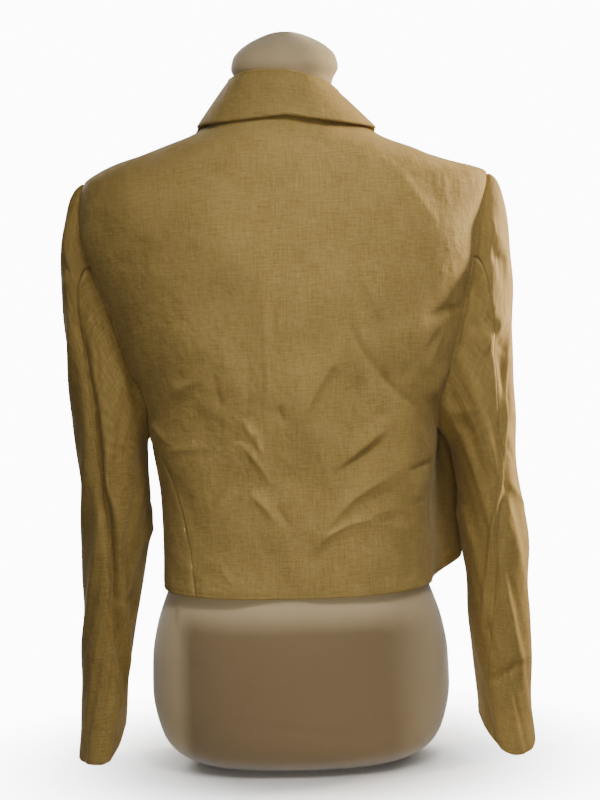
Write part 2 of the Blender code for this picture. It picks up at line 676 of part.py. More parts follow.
def make_button(finish):
    """Plain round button lying on the right front at the foot of the lapel's roll."""
    height = np.array([BUTTON_HEIGHT])
    face = torso_point(np.array([math.pi]), height, RIGHT, np.array([LAY_GAP]))[0]
    out = torso_outward(np.array([math.pi]), height, RIGHT)[0]
    centre = face + out * BUTTON_THICKNESS / 2
    tilt = math.atan2(out[2], -out[1])
    bpy.ops.mesh.primitive_cylinder_add(vertices=BUTTON_SIDES, radius=BUTTON_RADIUS, depth=BUTTON_THICKNESS,
                                        location=centre, rotation=(QUARTER_TURN - tilt, 0.0, 0.0))
    button = bpy.context.object
    button.name = "button"
    button.data.name = "button"
    button.data.materials.append(finish)
    for home in list(button.users_collection):
        home.objects.unlink(button)
    pieces.objects.link(button)
    rounding = button.modifiers.new("rounding", "BEVEL")
    rounding.width = BUTTON_ROUNDING
    rounding.segments = 1
    return button


make_form(material("form_cover", FORM_COLOUR, FORM_ROUGHNESS))
make_back(material("linen_back", CLOTH_COLOUR, CLOTH_ROUGHNESS))
for wearer_side in (LEFT, RIGHT):
    hand = SIDE_NAMES[wearer_side]
    make_front(wearer_side, material("linen_front_" + hand, CLOTH_COLOUR, CLOTH_ROUGHNESS))
    make_lapel(wearer_side, material("linen_lapel_" + hand, CLOTH_COLOUR, CLOTH_ROUGHNESS))
    make_sleeve(wearer_side, material("linen_sleeve_" + hand, CLOTH_COLOUR, CLOTH_ROUGHNESS))
make_collar(material("linen_collar", CLOTH_COLOUR, CLOTH_ROUGHNESS))
make_button(material("horn_button", BUTTON_COLOUR, BUTTON_ROUGHNESS))
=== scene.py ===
"""Cropped linen blazer on its dress form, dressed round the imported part.

Metres, +Z up. The jacket's back faces +Y, its front -Y, and the wearer's left is +X.
"""

import json
import math

import bpy
import numpy as np
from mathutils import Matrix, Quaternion, Vector

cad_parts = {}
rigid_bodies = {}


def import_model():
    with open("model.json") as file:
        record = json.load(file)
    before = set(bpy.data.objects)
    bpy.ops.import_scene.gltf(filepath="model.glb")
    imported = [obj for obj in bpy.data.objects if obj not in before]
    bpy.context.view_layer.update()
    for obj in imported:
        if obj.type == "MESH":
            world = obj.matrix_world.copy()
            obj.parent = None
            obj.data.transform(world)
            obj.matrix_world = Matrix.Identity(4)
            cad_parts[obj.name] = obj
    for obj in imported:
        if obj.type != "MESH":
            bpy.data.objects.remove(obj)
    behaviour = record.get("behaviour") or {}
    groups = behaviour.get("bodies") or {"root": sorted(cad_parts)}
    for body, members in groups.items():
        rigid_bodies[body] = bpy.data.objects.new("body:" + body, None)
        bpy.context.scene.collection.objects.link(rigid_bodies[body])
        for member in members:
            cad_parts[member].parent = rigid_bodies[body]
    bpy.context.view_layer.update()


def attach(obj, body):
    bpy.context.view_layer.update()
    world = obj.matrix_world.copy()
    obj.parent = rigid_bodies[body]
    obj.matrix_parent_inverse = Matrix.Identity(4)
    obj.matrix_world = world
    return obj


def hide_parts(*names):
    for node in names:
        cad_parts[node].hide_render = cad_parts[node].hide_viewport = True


for thing in list(bpy.data.objects):
    bpy.data.objects.remove(thing, do_unlink=True)

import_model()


# Camera
# It stands 2.2 m behind the jacket and a little above it, and leans as the photograph's frame does.

AIM = Vector((-0.0067, 0.0, 0.373))
CAMERA_DISTANCE = 2.2
CAMERA_LIFT = math.radians(3.5)
CAMERA_LEAN = math.radians(1.55)
VIEW_HEIGHT = 0.824
SENSOR = 36.0

away = Vector((0.0, math.cos(CAMERA_LIFT), math.sin(CAMERA_LIFT)))
camera = bpy.data.objects.new("camera", bpy.data.cameras.new("camera"))
camera.location = AIM + CAMERA_DISTANCE * away
camera.rotation_mode = "QUATERNION"
camera.rotation_quaternion = (-away).to_track_quat("-Z", "Y") @ Quaternion((0.0, 0.0, 1.0), -CAMERA_LEAN)
camera.data.sensor_width = SENSOR
camera.data.lens = SENSOR * CAMERA_DISTANCE / VIEW_HEIGHT
bpy.context.scene.collection.objects.link(camera)
bpy.context.scene.camera = camera


# Dress form
# The form is a padded body without limbs that ends in a domed neck. One smooth cream jersey is stretched over
# all of it, and it stands on its flat base and carries the jacket on its shoulders. Painted shade browns the
# back of its hips below the jacket's hem.

def table(columns, rows):
    """Give a short table as one array for each named column."""
    return dict(zip(columns.split(), np.array(rows, dtype=float).T))


FORM = table("height half back front square", [
    (0.0000, 0.0940, 0.058, 0.054, 2.30),
    (0.0030, 0.1060, 0.070, 0.066, 2.30),
    (0.0100, 0.1220, 0.086, 0.081, 2.30),
    (0.0220, 0.1370, 0.098, 0.092, 2.30),
    (0.0420, 0.1470, 0.106, 0.099, 2.30),
    (0.0780, 0.1535, 0.110, 0.103, 2.30),
    (0.1120, 0.1525, 0.110, 0.103, 2.30),
    (0.1450, 0.1470, 0.107, 0.100, 2.30),
    (0.1860, 0.1330, 0.099, 0.096, 2.30),
    (0.2260, 0.1200, 0.089, 0.092, 2.25),
    (0.2600, 0.1140, 0.082, 0.090, 2.20),
    (0.3000, 0.1170, 0.083, 0.094, 2.20),
    (0.3500, 0.1270, 0.090, 0.106, 2.20),
    (0.4000, 0.1390, 0.097, 0.115, 2.20),
    (0.4400, 0.1500, 0.101, 0.116, 2.20),
    (0.5000, 0.1670, 0.102, 0.106, 2.20),
    (0.5500, 0.1810, 0.099, 0.094, 2.10),
    (0.5850, 0.1880, 0.092, 0.084, 1.95),
    (0.6020, 0.1830, 0.087, 0.078, 1.85),
    (0.6125, 0.1650, 0.084, 0.075, 1.82),
    (0.6240, 0.1300, 0.079, 0.070, 1.80),
    (0.6355, 0.1010, 0.073, 0.064, 1.82),
    (0.6425, 0.0890, 0.068, 0.060, 1.85),
    (0.6495, 0.0785, 0.063, 0.058, 1.90),
    (0.6615, 0.0640, 0.056, 0.057, 1.95),
    (0.6740, 0.0525, 0.050, 0.056, 2.00),
    (0.6870, 0.0465, 0.046, 0.053, 2.00),
    (0.7000, 0.0490, 0.045, 0.053, 2.00),
    (0.7120, 0.0548, 0.047, 0.054, 2.00),
    (0.7230, 0.0525, 0.044, 0.051, 2.00),
    (0.7330, 0.0440, 0.037, 0.043, 2.00),
    (0.7430, 0.0270, 0.023, 0.027, 2.00),
    (0.7485, 0.0110, 0.010, 0.011, 2.00),
    (0.7495, 0.0010, 0.001, 0.001, 2.00),
])
FORM["ring"] = np.arange(len(FORM["height"]), dtype=float)
FORM_STEPS = 5
FORM_COLUMNS = 128
FORM_CREAM = (0.515, 0.400, 0.225, 1.0)
FORM_BROWN = (0.212, 0.144, 0.071, 1.0)
FORM_TONE = 0.15
# Painted shade: the back of the form's hips below the jacket's hem turns to FORM_BROWN; its strength, then
# the edges of its patch aside, up and behind.
PAINTED_SEAT_SHADE = 0.95
SEAT_SHADE_LEFT = (0.128, 0.104)
SEAT_SHADE_RIGHT = (-0.152, -0.075)
SEAT_SHADE_TOP = (0.176, 0.140)
SEAT_SHADE_BACK = (0.0, 0.05)
KNIT_PITCH = 0.0013
KNIT_RISE = 0.00004
KNIT_SPECKS = 900.0
KNIT_SPECK_TONE = 0.25
KNIT_SPECK_RISE = 0.00008
KNIT_CLOUDS = 18.0
KNIT_CLOUD_TONE = 0.30
PADDING_LUMPS = 30.0
PADDING_RISE = 0.0006
JERSEY_ROUGHNESS = (0.80, 0.10)
JERSEY_CONSTANTS = {"Sheen Weight": 0.60, "Sheen Roughness": 0.35}


def along(rows, column, at, key="height"):
    """Read a column as a smooth curve through its rows that never overshoots them."""
    knots = rows[key]
    values = rows[column]
    secants = np.diff(values) / np.diff(knots)
    before, after = secants[:-1], secants[1:]
    agree = before * after > 0
    total = np.where(agree, before + after, 1.0)
    inner = np.where(agree, 2.0 * before * after / total, 0.0)
    slopes = np.concatenate([secants[:1], inner, secants[-1:]])
    at = np.clip(at, knots[0], knots[-1])
    index = np.clip(np.searchsorted(knots, at) - 1, 0, len(knots) - 2)
    step = knots[index + 1] - knots[index]
    t = (at - knots[index]) / step
    start = (1 + 2 * t) * (1 - t) ** 2 * values[index] + t * (1 - t) ** 2 * step * slopes[index]
    end = t * t * (3 - 2 * t) * values[index + 1] + t * t * (t - 1) * step * slopes[index + 1]
    return start + end


def ring_radius(turn, half, depth, square):
    """Distance from the axis to a rounded-square ring, at a turn from the centre back."""
    across = np.abs(np.sin(turn) / half) ** square
    along_depth = np.abs(np.cos(turn) / depth) ** square
    return (across + along_depth) ** (-1.0 / square)


def lengths(grid, axis):
    """Length along a grid of points in one of its two ways, starting from 0 at its first edge."""
    steps = np.linalg.norm(np.diff(grid, axis=axis), axis=-1)
    start = np.zeros_like(np.take(steps, [0], axis=axis))
    return np.concatenate([start, np.cumsum(steps, axis=axis)], axis=axis)


def add_surface(name, grid, finish, turned=False, ring=False):
    """Make a piece from a grid of points: quads, with a UV map in metres across from the grid's middle
    column and up along that column.

    A ring grid repeats its first column as its last, and is joined there and capped at both ends.
    """
    rows, columns = grid.shape[:2]
    number = np.arange(rows * columns).reshape(rows, columns)
    corners = np.stack([number[:-1, :-1], number[:-1, 1:], number[1:, 1:], number[1:, :-1]], axis=-1)
    corners = corners.reshape(-1, 4)[:, ::-1] if turned else corners.reshape(-1, 4)
    middle = [columns // 2]
    across = lengths(grid, 1)
    up = np.broadcast_to(lengths(grid, 0)[:, middle], across.shape)
    metres = np.stack([across - across[:, middle], up], axis=-1).reshape(-1, 2)[corners.ravel()]
    points = grid
    faces = corners.tolist()
    if ring:
        points = grid[:, :-1]
        joined = np.arange(rows * (columns - 1)).reshape(rows, columns - 1)
        joined = np.concatenate([joined, joined[:, :1]], axis=1)
        faces = joined.ravel()[corners].tolist()
        caps = [joined[0, :-1], joined[-1, :-1][::-1]]
        faces += [(cap[::-1] if turned else cap).tolist() for cap in caps]
        metres = np.concatenate([metres, np.zeros((2 * (columns - 1), 2))])
    mesh = bpy.data.meshes.new(name)
    mesh.from_pydata(points.reshape(-1, 3).tolist(), [], faces)
    mesh.uv_layers.new(name="metres").data.foreach_set("uv", metres.ravel())
    mesh.shade_smooth()
    mesh.materials.append(finish)
    piece = bpy.data.objects.new(name, mesh)
    bpy.context.scene.collection.objects.link(piece)
    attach(piece, "root")
    return piece


class Finish:
    """A node socket that can stand in sums: each operator adds a Math node to its material."""

    def __init__(self, tree, socket=None):
        self.tree = tree
        self.socket = socket

    def node(self, kind, settings, inputs, output=0):
        """Add a node: its settings first, then the number, colour or link of each named input."""
        made = self.tree.nodes.new(kind)
        for name, value in settings.items():
            setattr(made, name, value)
        for name, value in inputs.items():
            if isinstance(value, Finish):
                self.tree.links.new(value.socket, made.inputs[name])
            else:
                made.inputs[name].default_value = value
        return Finish(self.tree, made.outputs[output])

    def sum_of(self, operation, first, second):
        """Add one Math node."""
        return self.node("ShaderNodeMath", {"operation": operation}, {0: first, 1: second})

    def __add__(self, other):
        return self.sum_of("ADD", self, other)

    __radd__ = __add__

    def __mul__(self, other):
        return self.sum_of("MULTIPLY", self, other)

    __rmul__ = __mul__

    def __sub__(self, other):
        return self.sum_of("SUBTRACT", self, other)

    def __rsub__(self, other):
        return self.sum_of("SUBTRACT", other, self)

    def wave(self):
        """Sine of the value."""
        return self.node("ShaderNodeMath", {"operation": "SINE"}, {0: self})

    def ramp(self, start, end):
        """Smooth step from 0 where the value is start to 1 where it is end."""
        settings = {"interpolation_type": "SMOOTHSTEP"}
        return self.node("ShaderNodeMapRange", settings, {"Value": self, "From Min": start, "From Max": end})

    def noise(self, across, up, detail=2.0):
        """Cloudy noise from 0 to 1 of a flat vector, with so many clouds to the metre each way."""
        scaled = self.node("ShaderNodeMapping", {}, {"Vector": self, "Scale": (across, up, 1.0)})
        return self.node("ShaderNodeTexNoise", {}, {"Vector": scaled, "Scale": 1.0, "Detail": detail})

    def swing(self, whole):
        """Noise from 0 to 1 as a swing to both sides of 0, so wide as a whole."""
        return whole * (self - 0.5)

    def between(self, first, second):
        """Colour mixed from two by the value."""
        settings = {"data_type": "RGBA", "clamp_factor": True}
        return self.node("ShaderNodeMix", settings, {0: self, 6: first, 7: second}, 2)

    def parts(self):
        """The x, y and z of a vector."""
        split = self.node("ShaderNodeSeparateXYZ", {}, {0: self}).socket.node
        return [Finish(self.tree, output) for output in split.outputs]

    def flat_place(self):
        """Place on the piece laid flat, in metres."""
        return self.node("ShaderNodeUVMap", {"uv_map": "metres"}, {})

    def place(self):
        """Place in the frame, in metres."""
        return self.node("ShaderNodeTexCoord", {}, {}, "Object")


def new_finish(name, constants):
    """Material with its constant inputs set: gives the material, its shader and a start for its sums."""
    made = bpy.data.materials.new(name)
    made.use_nodes = True
    shader = made.node_tree.nodes["Principled BSDF"]
    for socket, value in constants.items():
        shader.inputs[socket].default_value = value
    return made, shader, Finish(made.node_tree)


def lay_finish(shader, colour, roughness, change, relief):
    """Link colour, roughness and a relief in metres, through Bump, into a shader.

    Roughness is given as its least value and as what a change from 0 to 1 adds to it.
    """
    least, more = roughness
    links = colour.tree.links
    links.new(colour.socket, shader.inputs["Base Color"])
    links.new((least + more * change).socket, shader.inputs["Roughness"])
    bump = relief.node("ShaderNodeBump", {}, {"Height": relief, "Distance": 1.0, "Strength": 1.0})
    links.new(bump.socket, shader.inputs["Normal"])


def jersey():
    """Fine knit: cream, with painted shade that browns the back of the hips below the jacket's hem, and small
    ribs of stitches.
    """
    made, shader, start = new_finish("jersey_cover", JERSEY_CONSTANTS)
    at = start.flat_place()
    place = start.place()
    aside, behind, height = place.parts()
    across, up = at.parts()[:2]
    cloud = place.noise(KNIT_CLOUDS, KNIT_CLOUDS)
    speck = at.noise(KNIT_SPECKS, KNIT_SPECKS)
    # Painted shade: a patch on the back of the hips, under the hem and between lighter sides, is browned.
    seat_shade = aside.ramp(*SEAT_SHADE_LEFT) * aside.ramp(*SEAT_SHADE_RIGHT) * height.ramp(*SEAT_SHADE_TOP) * behind.ramp(*SEAT_SHADE_BACK)
    tone = FORM_TONE + PAINTED_SEAT_SHADE * seat_shade + cloud.swing(KNIT_CLOUD_TONE) + speck.swing(KNIT_SPECK_TONE)
    stitches = (across * (2 * math.pi / KNIT_PITCH)).wave() * (up * (4 * math.pi / KNIT_PITCH)).wave()
    lumps = place.noise(PADDING_LUMPS, PADDING_LUMPS)
    relief = KNIT_RISE * stitches + KNIT_SPECK_RISE * speck + PADDING_RISE * lumps
    lay_finish(shader, tone.between(FORM_CREAM, FORM_BROWN), JERSEY_ROUGHNESS, speck, relief)
    return made


def form_grid():
    """Rings stacked along the table: every ring is a rounded square, read smoothly from row to row."""
    ring = np.linspace(0.0, FORM["ring"][-1], FORM_STEPS * (len(FORM["ring"]) - 1) + 1)
    columns = ("half", "back", "front", "square", "height")
    half, back, front, square, height = (along(FORM, column, ring, "ring")[:, None] for column in columns)
    turn = np.linspace(0.0, 2 * math.pi, FORM_COLUMNS + 1)[None, :]
    radius = ring_radius(turn, half, np.where(np.cos(turn) >= 0, back, front), square)
    return np.stack([radius * np.sin(turn), radius * np.cos(turn), height + 0 * turn], axis=-1)


dress_form = add_surface("form_body", form_grid(), jersey(), turned=True, ring=True)
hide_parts("dress_form")


# Back
# The back is one panel of slubby tan linen without a centre seam. It hangs from the shoulders, is
# drawn in at the waist, where it creases, and its hem is turned up and pressed.

LEFT = 1
RIGHT = -1
SIDE_NAMES = {LEFT: "left", RIGHT: "right"}
QUARTER_TURN = math.pi / 2
PANEL_WALL = 0.0016
STITCH_GAP = 0.0002
SEAM_SINK = 0.0011
SEAM_WIDTH = 0.0020
HOLD_WIDTH = 0.014
SIDE_SINK = 0.00022
ARMPIT_HEIGHT = 0.383
ARMPIT_SPAN = 0.013
ARMPIT_DEPTH = 0.0075
ARMPIT_WIDTH = 0.0055
HEM_HEIGHT = 0.185
UNDERARM_HEIGHT = 0.340
SHOULDER_TIP_HEIGHT = 0.601
NECK_SIDE_HEIGHT = 0.662
NECK_BACK_HEIGHT = 0.675
ARMHOLE_MIDDLE = (SHOULDER_TIP_HEIGHT + UNDERARM_HEIGHT) / 2
ARMHOLE_HALF = (SHOULDER_TIP_HEIGHT - UNDERARM_HEIGHT) / 2
HEM_DIP = 0.003
HEM_BAND = 0.070
HEM_ROLL = 0.0006
HEM_ROLL_WIDTH = 0.0012
HEM_PRESS = 0.0004
HEM_PRESS_HEIGHT = 0.0034
HEM_PRESS_WIDTH = 0.0010
NORMAL_STEP = 1e-4
TORSO = table("height left right back front square", [
    (0.185, 0.1390, 0.1390, 0.105, 0.118, 2.40),
    (0.230, 0.1380, 0.1380, 0.103, 0.120, 2.40),
    (0.275, 0.1390, 0.1390, 0.104, 0.124, 2.40),
    (0.330, 0.1465, 0.1465, 0.109, 0.129, 2.35),
    (0.368, 0.1510, 0.1510, 0.113, 0.131, 2.35),
    (0.390, 0.1600, 0.1600, 0.115, 0.131, 2.30),
    (0.436, 0.1770, 0.1760, 0.118, 0.129, 2.30),
    (0.494, 0.1970, 0.1900, 0.119, 0.121, 2.30),
    (0.512, 0.2055, 0.1937, 0.118, 0.118, 2.28),
    (0.530, 0.2125, 0.1970, 0.117, 0.114, 2.25),
    (0.550, 0.2160, 0.1995, 0.115, 0.110, 2.19),
    (0.570, 0.2160, 0.2020, 0.112, 0.105, 2.12),
    (0.590, 0.2125, 0.2050, 0.107, 0.099, 2.00),
    (0.601, 0.2070, 0.2035, 0.104, 0.096, 1.92),
    (0.607, 0.1970, 0.1935, 0.102, 0.093, 1.90),
    (0.615, 0.1805, 0.1665, 0.099, 0.089, 1.88),
    (0.6265, 0.1525, 0.1310, 0.092, 0.082, 1.86),
    (0.638, 0.1215, 0.1020, 0.085, 0.075, 1.86),
    (0.645, 0.1010, 0.0905, 0.080, 0.070, 1.90),
    (0.652, 0.0870, 0.0805, 0.074, 0.066, 1.95),
    (0.664, 0.0710, 0.0680, 0.065, 0.059, 2.00),
    (0.680, 0.0635, 0.0620, 0.056, 0.052, 2.00),
])
SIDE_SEAM = table("height left right", [
    (0.185, 52, 76), (0.250, 57, 75), (0.310, 66, 77), (0.328, 75, 82), (0.340, 90, 90)])
ARMHOLE_BACK_REACH = {LEFT: 0.034, RIGHT: 0.045}
ARMHOLE_FRONT_REACH = 0.062
FLARE = table("height reach", [
    (0.185, 0.049), (0.215, 0.052), (0.270, 0.050), (0.300, 0.046),
    (0.325, 0.038), (0.345, 0.026), (0.360, 0.012), (0.372, 0.000)])
FLARE_RISE = 0.016
FLARE_TURN = math.radians(120)
FLARE_WIDTH = math.radians(18)
FLARE_CLEAR_START = math.radians(98)
FLARE_CLEAR_END = math.radians(118)
FLARE_CLEAR_LOW = 0.280
BACK_COLUMNS = 98
HEM_ROWS = (0.0, 0.0007, 0.0015, 0.0024, 0.0034, 0.0044, 0.0056)
WAIST_ROWS = 92
ARMHOLE_ROWS = 104
ARMHOLE_ROWS_EVEN = 0.4
SHOULDER_ROWS = 22
BACK_CREASES = table("foot_x foot_z head_x head_z bow rise plus minus", [
    (0.0595, 0.4490, 0.0338, 0.4980, -0.0028, -0.0022, 0.0032, 0.0032),
    (0.0719, 0.3720, 0.0777, 0.4060, 0.0005, -0.0025, 0.0032, 0.0040),
    (0.1197, 0.3890, 0.0894, 0.4040, -0.0007, 0.0025, 0.0048, 0.0048),
    (0.0319, 0.3300, 0.0494, 0.3580, -0.0010, 0.0032, 0.0041, 0.0056),
    (0.0252, 0.2990, 0.0494, 0.3350, -0.0015, 0.0026, 0.0034, 0.0056),
    (0.0108, 0.3570, 0.0139, 0.3730, 0.0005, -0.0018, 0.0032, 0.0032),
    (-0.0078, 0.3600, -0.0430, 0.4180, 0.0020, 0.0032, 0.0104, 0.0047),
    (-0.1183, 0.3700, -0.0538, 0.4590, 0.0070, -0.0032, 0.0042, 0.0047),
    (-0.0926, 0.4520, -0.0721, 0.4920, -0.0006, 0.0019, 0.0032, 0.0096),
    (-0.1347, 0.4570, -0.1690, 0.4640, 0.0006, -0.0036, 0.0048, 0.0051),
    (-0.1293, 0.4170, -0.1495, 0.4430, 0.0003, -0.0029, 0.0040, 0.0042),
    (-0.1390, 0.3750, -0.1498, 0.4060, -0.0009, 0.0028, 0.0040, 0.0040),
    (-0.0453, 0.3140, -0.0899, 0.3470, 0.0006, 0.0032, 0.0064, 0.0047),
    (-0.0421, 0.3090, -0.0856, 0.3340, -0.0008, -0.0018, 0.0032, 0.0064),
    (-0.0210, 0.2720, -0.0328, 0.3260, 0.0000, 0.0028, 0.0040, 0.0056),
    (-0.0227, 0.2370, -0.0913, 0.2990, 0.0091, 0.0042, 0.0072, 0.0060),
    (-0.0181, 0.2320, -0.0669, 0.2580, 0.0052, 0.0035, 0.0048, 0.0049),
    (-0.0668, 0.2550, -0.1112, 0.2440, 0.0011, 0.0018, 0.0048, 0.0032),
    (-0.0700, 0.2580, -0.1133, 0.2620, 0.0061, 0.0015, 0.0048, 0.0032),
    (-0.1124, 0.3040, -0.1390, 0.3090, -0.0004, -0.0029, 0.0038, 0.0042),
    (0.0210, 0.2610, 0.0423, 0.2860, -0.0012, 0.0028, 0.0040, 0.0048),
    (0.0072, 0.2540, 0.0192, 0.2740, -0.0004, -0.0028, 0.0036, 0.0040),
    (0.0064, 0.2000, 0.0108, 0.2480, 0.0005, 0.0022, 0.0072, 0.0072),
    (-0.0100, 0.2090, -0.0081, 0.2460, 0.0009, -0.0018, 0.0040, 0.0040),
    (0.0266, 0.3560, 0.0263, 0.4880, -0.0006, 0.0014, 0.0056, 0.0048),
    (0.0455, 0.3660, 0.0443, 0.4280, -0.0005, -0.0014, 0.0064, 0.0048),
    (0.0185, 0.4180, 0.0177, 0.4780, -0.0005, -0.0010, 0.0032, 0.0040),
    (0.1248, 0.3370, 0.1437, 0.3580, 0.0003, 0.0028, 0.0035, 0.0040),
    (0.1272, 0.3290, 0.0900, 0.3350, 0.0000, 0.0014, 0.0048, 0.0032),
    (0.1082, 0.2040, 0.1216, 0.2740, -0.0002, 0.0015, 0.0032, 0.0048),
    (-0.0779, 0.3630, -0.0931, 0.3600, 0.0013, -0.0019, 0.0040, 0.0040),
    (-0.0723, 0.2040, -0.0910, 0.1990, 0.0002, -0.0015, 0.0032, 0.0032),
    (-0.0981, 0.1960, -0.1207, 0.2000, -0.0008, -0.0016, 0.0032, 0.0032),
    (-0.0175, 0.6440, -0.0787, 0.6110, -0.0033, -0.0024, 0.0112, 0.0112),
    (-0.1467, 0.5500, -0.1026, 0.6070, -0.0004, 0.0024, 0.0112, 0.0080),
    (-0.1099, 0.5650, -0.0970, 0.5960, -0.0006, -0.0018, 0.0048, 0.0064),
    (-0.1223, 0.2730, -0.1208, 0.2950, 0.0003, 0.0021, 0.0080, 0.0080),
])
DRAPE_WAVES = table("across up start rise", [
    (7.0, 3.0, 0.6, 0.0010),
    (-5.0, 8.0, 2.1, 0.0009),
    (13.0, -6.0, 4.0, 0.0005),
    (4.0, 15.0, 1.3, 0.0004),
    (21.0, 5.0, 5.2, 0.0002),
])
CREASE_SOFTNESS = 0.0012
CREASE_FADE = (-0.22, 0.30)
LINEN_DARK = (0.180, 0.115, 0.027, 1.0)
LINEN_LIGHT = (0.440, 0.302, 0.094, 1.0)
LINEN_TONE = 0.50
WEFT_SLUBS = (60.0, 620.0, 1.0)
WEFT_TONE = 0.52
WARP_SLUBS = (620.0, 45.0, 1.0)
WARP_TONE = 0.46
SLUB_RISE = 0.00005
FLECKS = (260.0, 380.0, 1.0)
FLECK_TONE = 0.34
FLECK_RISE = 0.00004
MOTTLES = (26.0, 34.0, 3.0)
MOTTLE_TONE = 0.40
WEAVE_PITCH = 0.0011
WEAVE_RISE = 0.00002
CRUMPLES = ((0.0034, 24.0, 17.0), (0.0016, 62.0, 48.0), (0.0005, 130.0, 120.0))
PANEL_SHIFT_UP = 0.61
LINEN_ROUGHNESS = (0.72, 0.16)
LINEN_CONSTANTS = {
    "Specular IOR Level": 0.25,
    "Sheen Weight": 0.12,
    "Sheen Roughness": 0.45,
    "Sheen Tint": (1.0, 0.82, 0.54, 1.0),
}


def linen(name, shift, painted_shade=0.0):
    """Plain weave of slubby yarns: long thin streaks along warp and weft, soft mottling and crumple.

    The shift gives each panel a place of its own in the pattern; painted shade may darken a panel all over.
    """
    made, shader, start = new_finish(name, LINEN_CONSTANTS)
    moved = {"Vector": start.flat_place(), "Location": (shift, PANEL_SHIFT_UP * shift, 0.0)}
    at = start.node("ShaderNodeMapping", {}, moved)
    across, up = at.parts()[:2]
    weft, warp, fleck, mottle = (at.noise(*kind) for kind in (WEFT_SLUBS, WARP_SLUBS, FLECKS, MOTTLES))
    tone = LINEN_TONE - painted_shade + weft.swing(WEFT_TONE) + warp.swing(WARP_TONE)
    tone = tone + fleck.swing(FLECK_TONE) + mottle.swing(MOTTLE_TONE)
    threads = (across * (2 * math.pi / WEAVE_PITCH)).wave() * (up * (2 * math.pi / WEAVE_PITCH)).wave()
    relief = SLUB_RISE * (weft + warp) + FLECK_RISE * fleck + WEAVE_RISE * threads
    for rise, clouds_across, clouds_up in CRUMPLES:
        relief = relief + rise * at.noise(clouds_across, clouds_up)
    lay_finish(shader, tone.between(LINEN_DARK, LINEN_LIGHT), LINEN_ROUGHNESS, weft, relief)
    return made


def ease(start, end, value):
    """Rise smoothly from 0 at start to 1 at end."""
    t = np.clip((value - start) / (end - start), 0.0, 1.0)
    return t * t * (3 - 2 * t)


def bell(distance, width):
    """Soft hump of height 1 that has faded out at about twice its width."""
    return np.exp(-((distance / width) ** 2))


def torso_depth(way, height):
    """Depth of the torso ring at the back, where the way is 0 or more, or else at the front."""
    return np.where(way >= 0, along(TORSO, "back", height), along(TORSO, "front", height))


def torso_radius(turn, height, side):
    """Distance from the axis to the torso ring at a height, at a turn from centre back to centre front."""
    half = along(TORSO, SIDE_NAMES[side], height)
    return ring_radius(turn, half, torso_depth(np.cos(turn), height), along(TORSO, "square", height))


def torso_plain(turn, height, side):
    """Point of the torso rings without folds, with the right hem's flare."""
    radius = torso_radius(turn, height, side)
    x = side * radius * np.sin(turn)
    if side == RIGHT:
        swing = bell(turn - FLARE_TURN, FLARE_WIDTH)
        clear = ease(FLARE_CLEAR_START, FLARE_CLEAR_END, turn)
        high = ease(FLARE_CLEAR_LOW, UNDERARM_HEIGHT, height)
        x = x - along(FLARE, "reach", height) * swing * (1 - high * (1 - clear))
    return np.stack([x, radius * np.cos(turn), height], axis=-1)


def torso_outward(turn, height, side):
    """Unit normal of the plain torso surface, pointing out of the body."""
    by_turn = torso_plain(turn + NORMAL_STEP, height, side) - torso_plain(turn - NORMAL_STEP, height, side)
    by_height = torso_plain(turn, height + NORMAL_STEP, side) - torso_plain(turn, height - NORMAL_STEP, side)
    normal = side * np.cross(by_height, by_turn)
    return normal / np.linalg.norm(normal, axis=-1, keepdims=True)


def crease_height(across, up, creases):
    """Sum of creases on flat cloth: each falls off from a bowed line, by one width on its plus side and
    another on its minus side, and fades towards both ends."""
    total = np.zeros(across.shape)
    for foot_x, foot_z, head_x, head_z, bow, rise, plus, minus in zip(*creases.values()):
        run_x, run_z = head_x - foot_x, head_z - foot_z
        length = math.hypot(run_x, run_z)
        share = ((across - foot_x) * run_x + (up - foot_z) * run_z) / length ** 2
        off = ((across - foot_x) * run_z - (up - foot_z) * run_x) / length
        bowed = off - bow * 4 * share * (1 - share)
        fade = ease(*CREASE_FADE, share) * ease(*CREASE_FADE, 1 - share)
        away = np.hypot(bowed, CREASE_SOFTNESS) - CREASE_SOFTNESS
        total = total + rise * fade * np.exp(-away / np.where(bowed > 0, plus, minus))
    return total


def drape_height(across, up):
    """Slow uneven waves of hanging cloth: a sum of sines of flat position."""
    total = np.zeros(across.shape)
    for by_x, by_z, start, rise in zip(*DRAPE_WAVES.values()):
        total = total + rise * np.sin(2 * math.pi * (by_x * across + by_z * up) + start)
    return total


def armhole_point(angle, side):
    """Armhole loop, an oval seen from the side: angle 0 at the shoulder tip, a quarter turn behind."""
    height = ARMHOLE_MIDDLE + ARMHOLE_HALF * np.cos(angle)
    reach = np.where(np.sin(angle) >= 0, ARMHOLE_BACK_REACH[side], ARMHOLE_FRONT_REACH)
    y = reach * np.sin(angle)
    square = along(TORSO, "square", height)
    share = 1 - np.abs(y / torso_depth(y, height)) ** square
    x = side * along(TORSO, SIDE_NAMES[side], height) * share ** (1 / square)
    return np.stack([x, y, height], axis=-1)


def armhole_turn(height, side, behind):
    """Turn of the armhole's back or front edge at a height between underarm and shoulder tip."""
    angle = np.arccos(np.clip((height - ARMHOLE_MIDDLE) / ARMHOLE_HALF, -1.0, 1.0))
    point = armhole_point(angle if behind else -angle, side)
    return np.arctan2(point[..., 0] * side, point[..., 1])


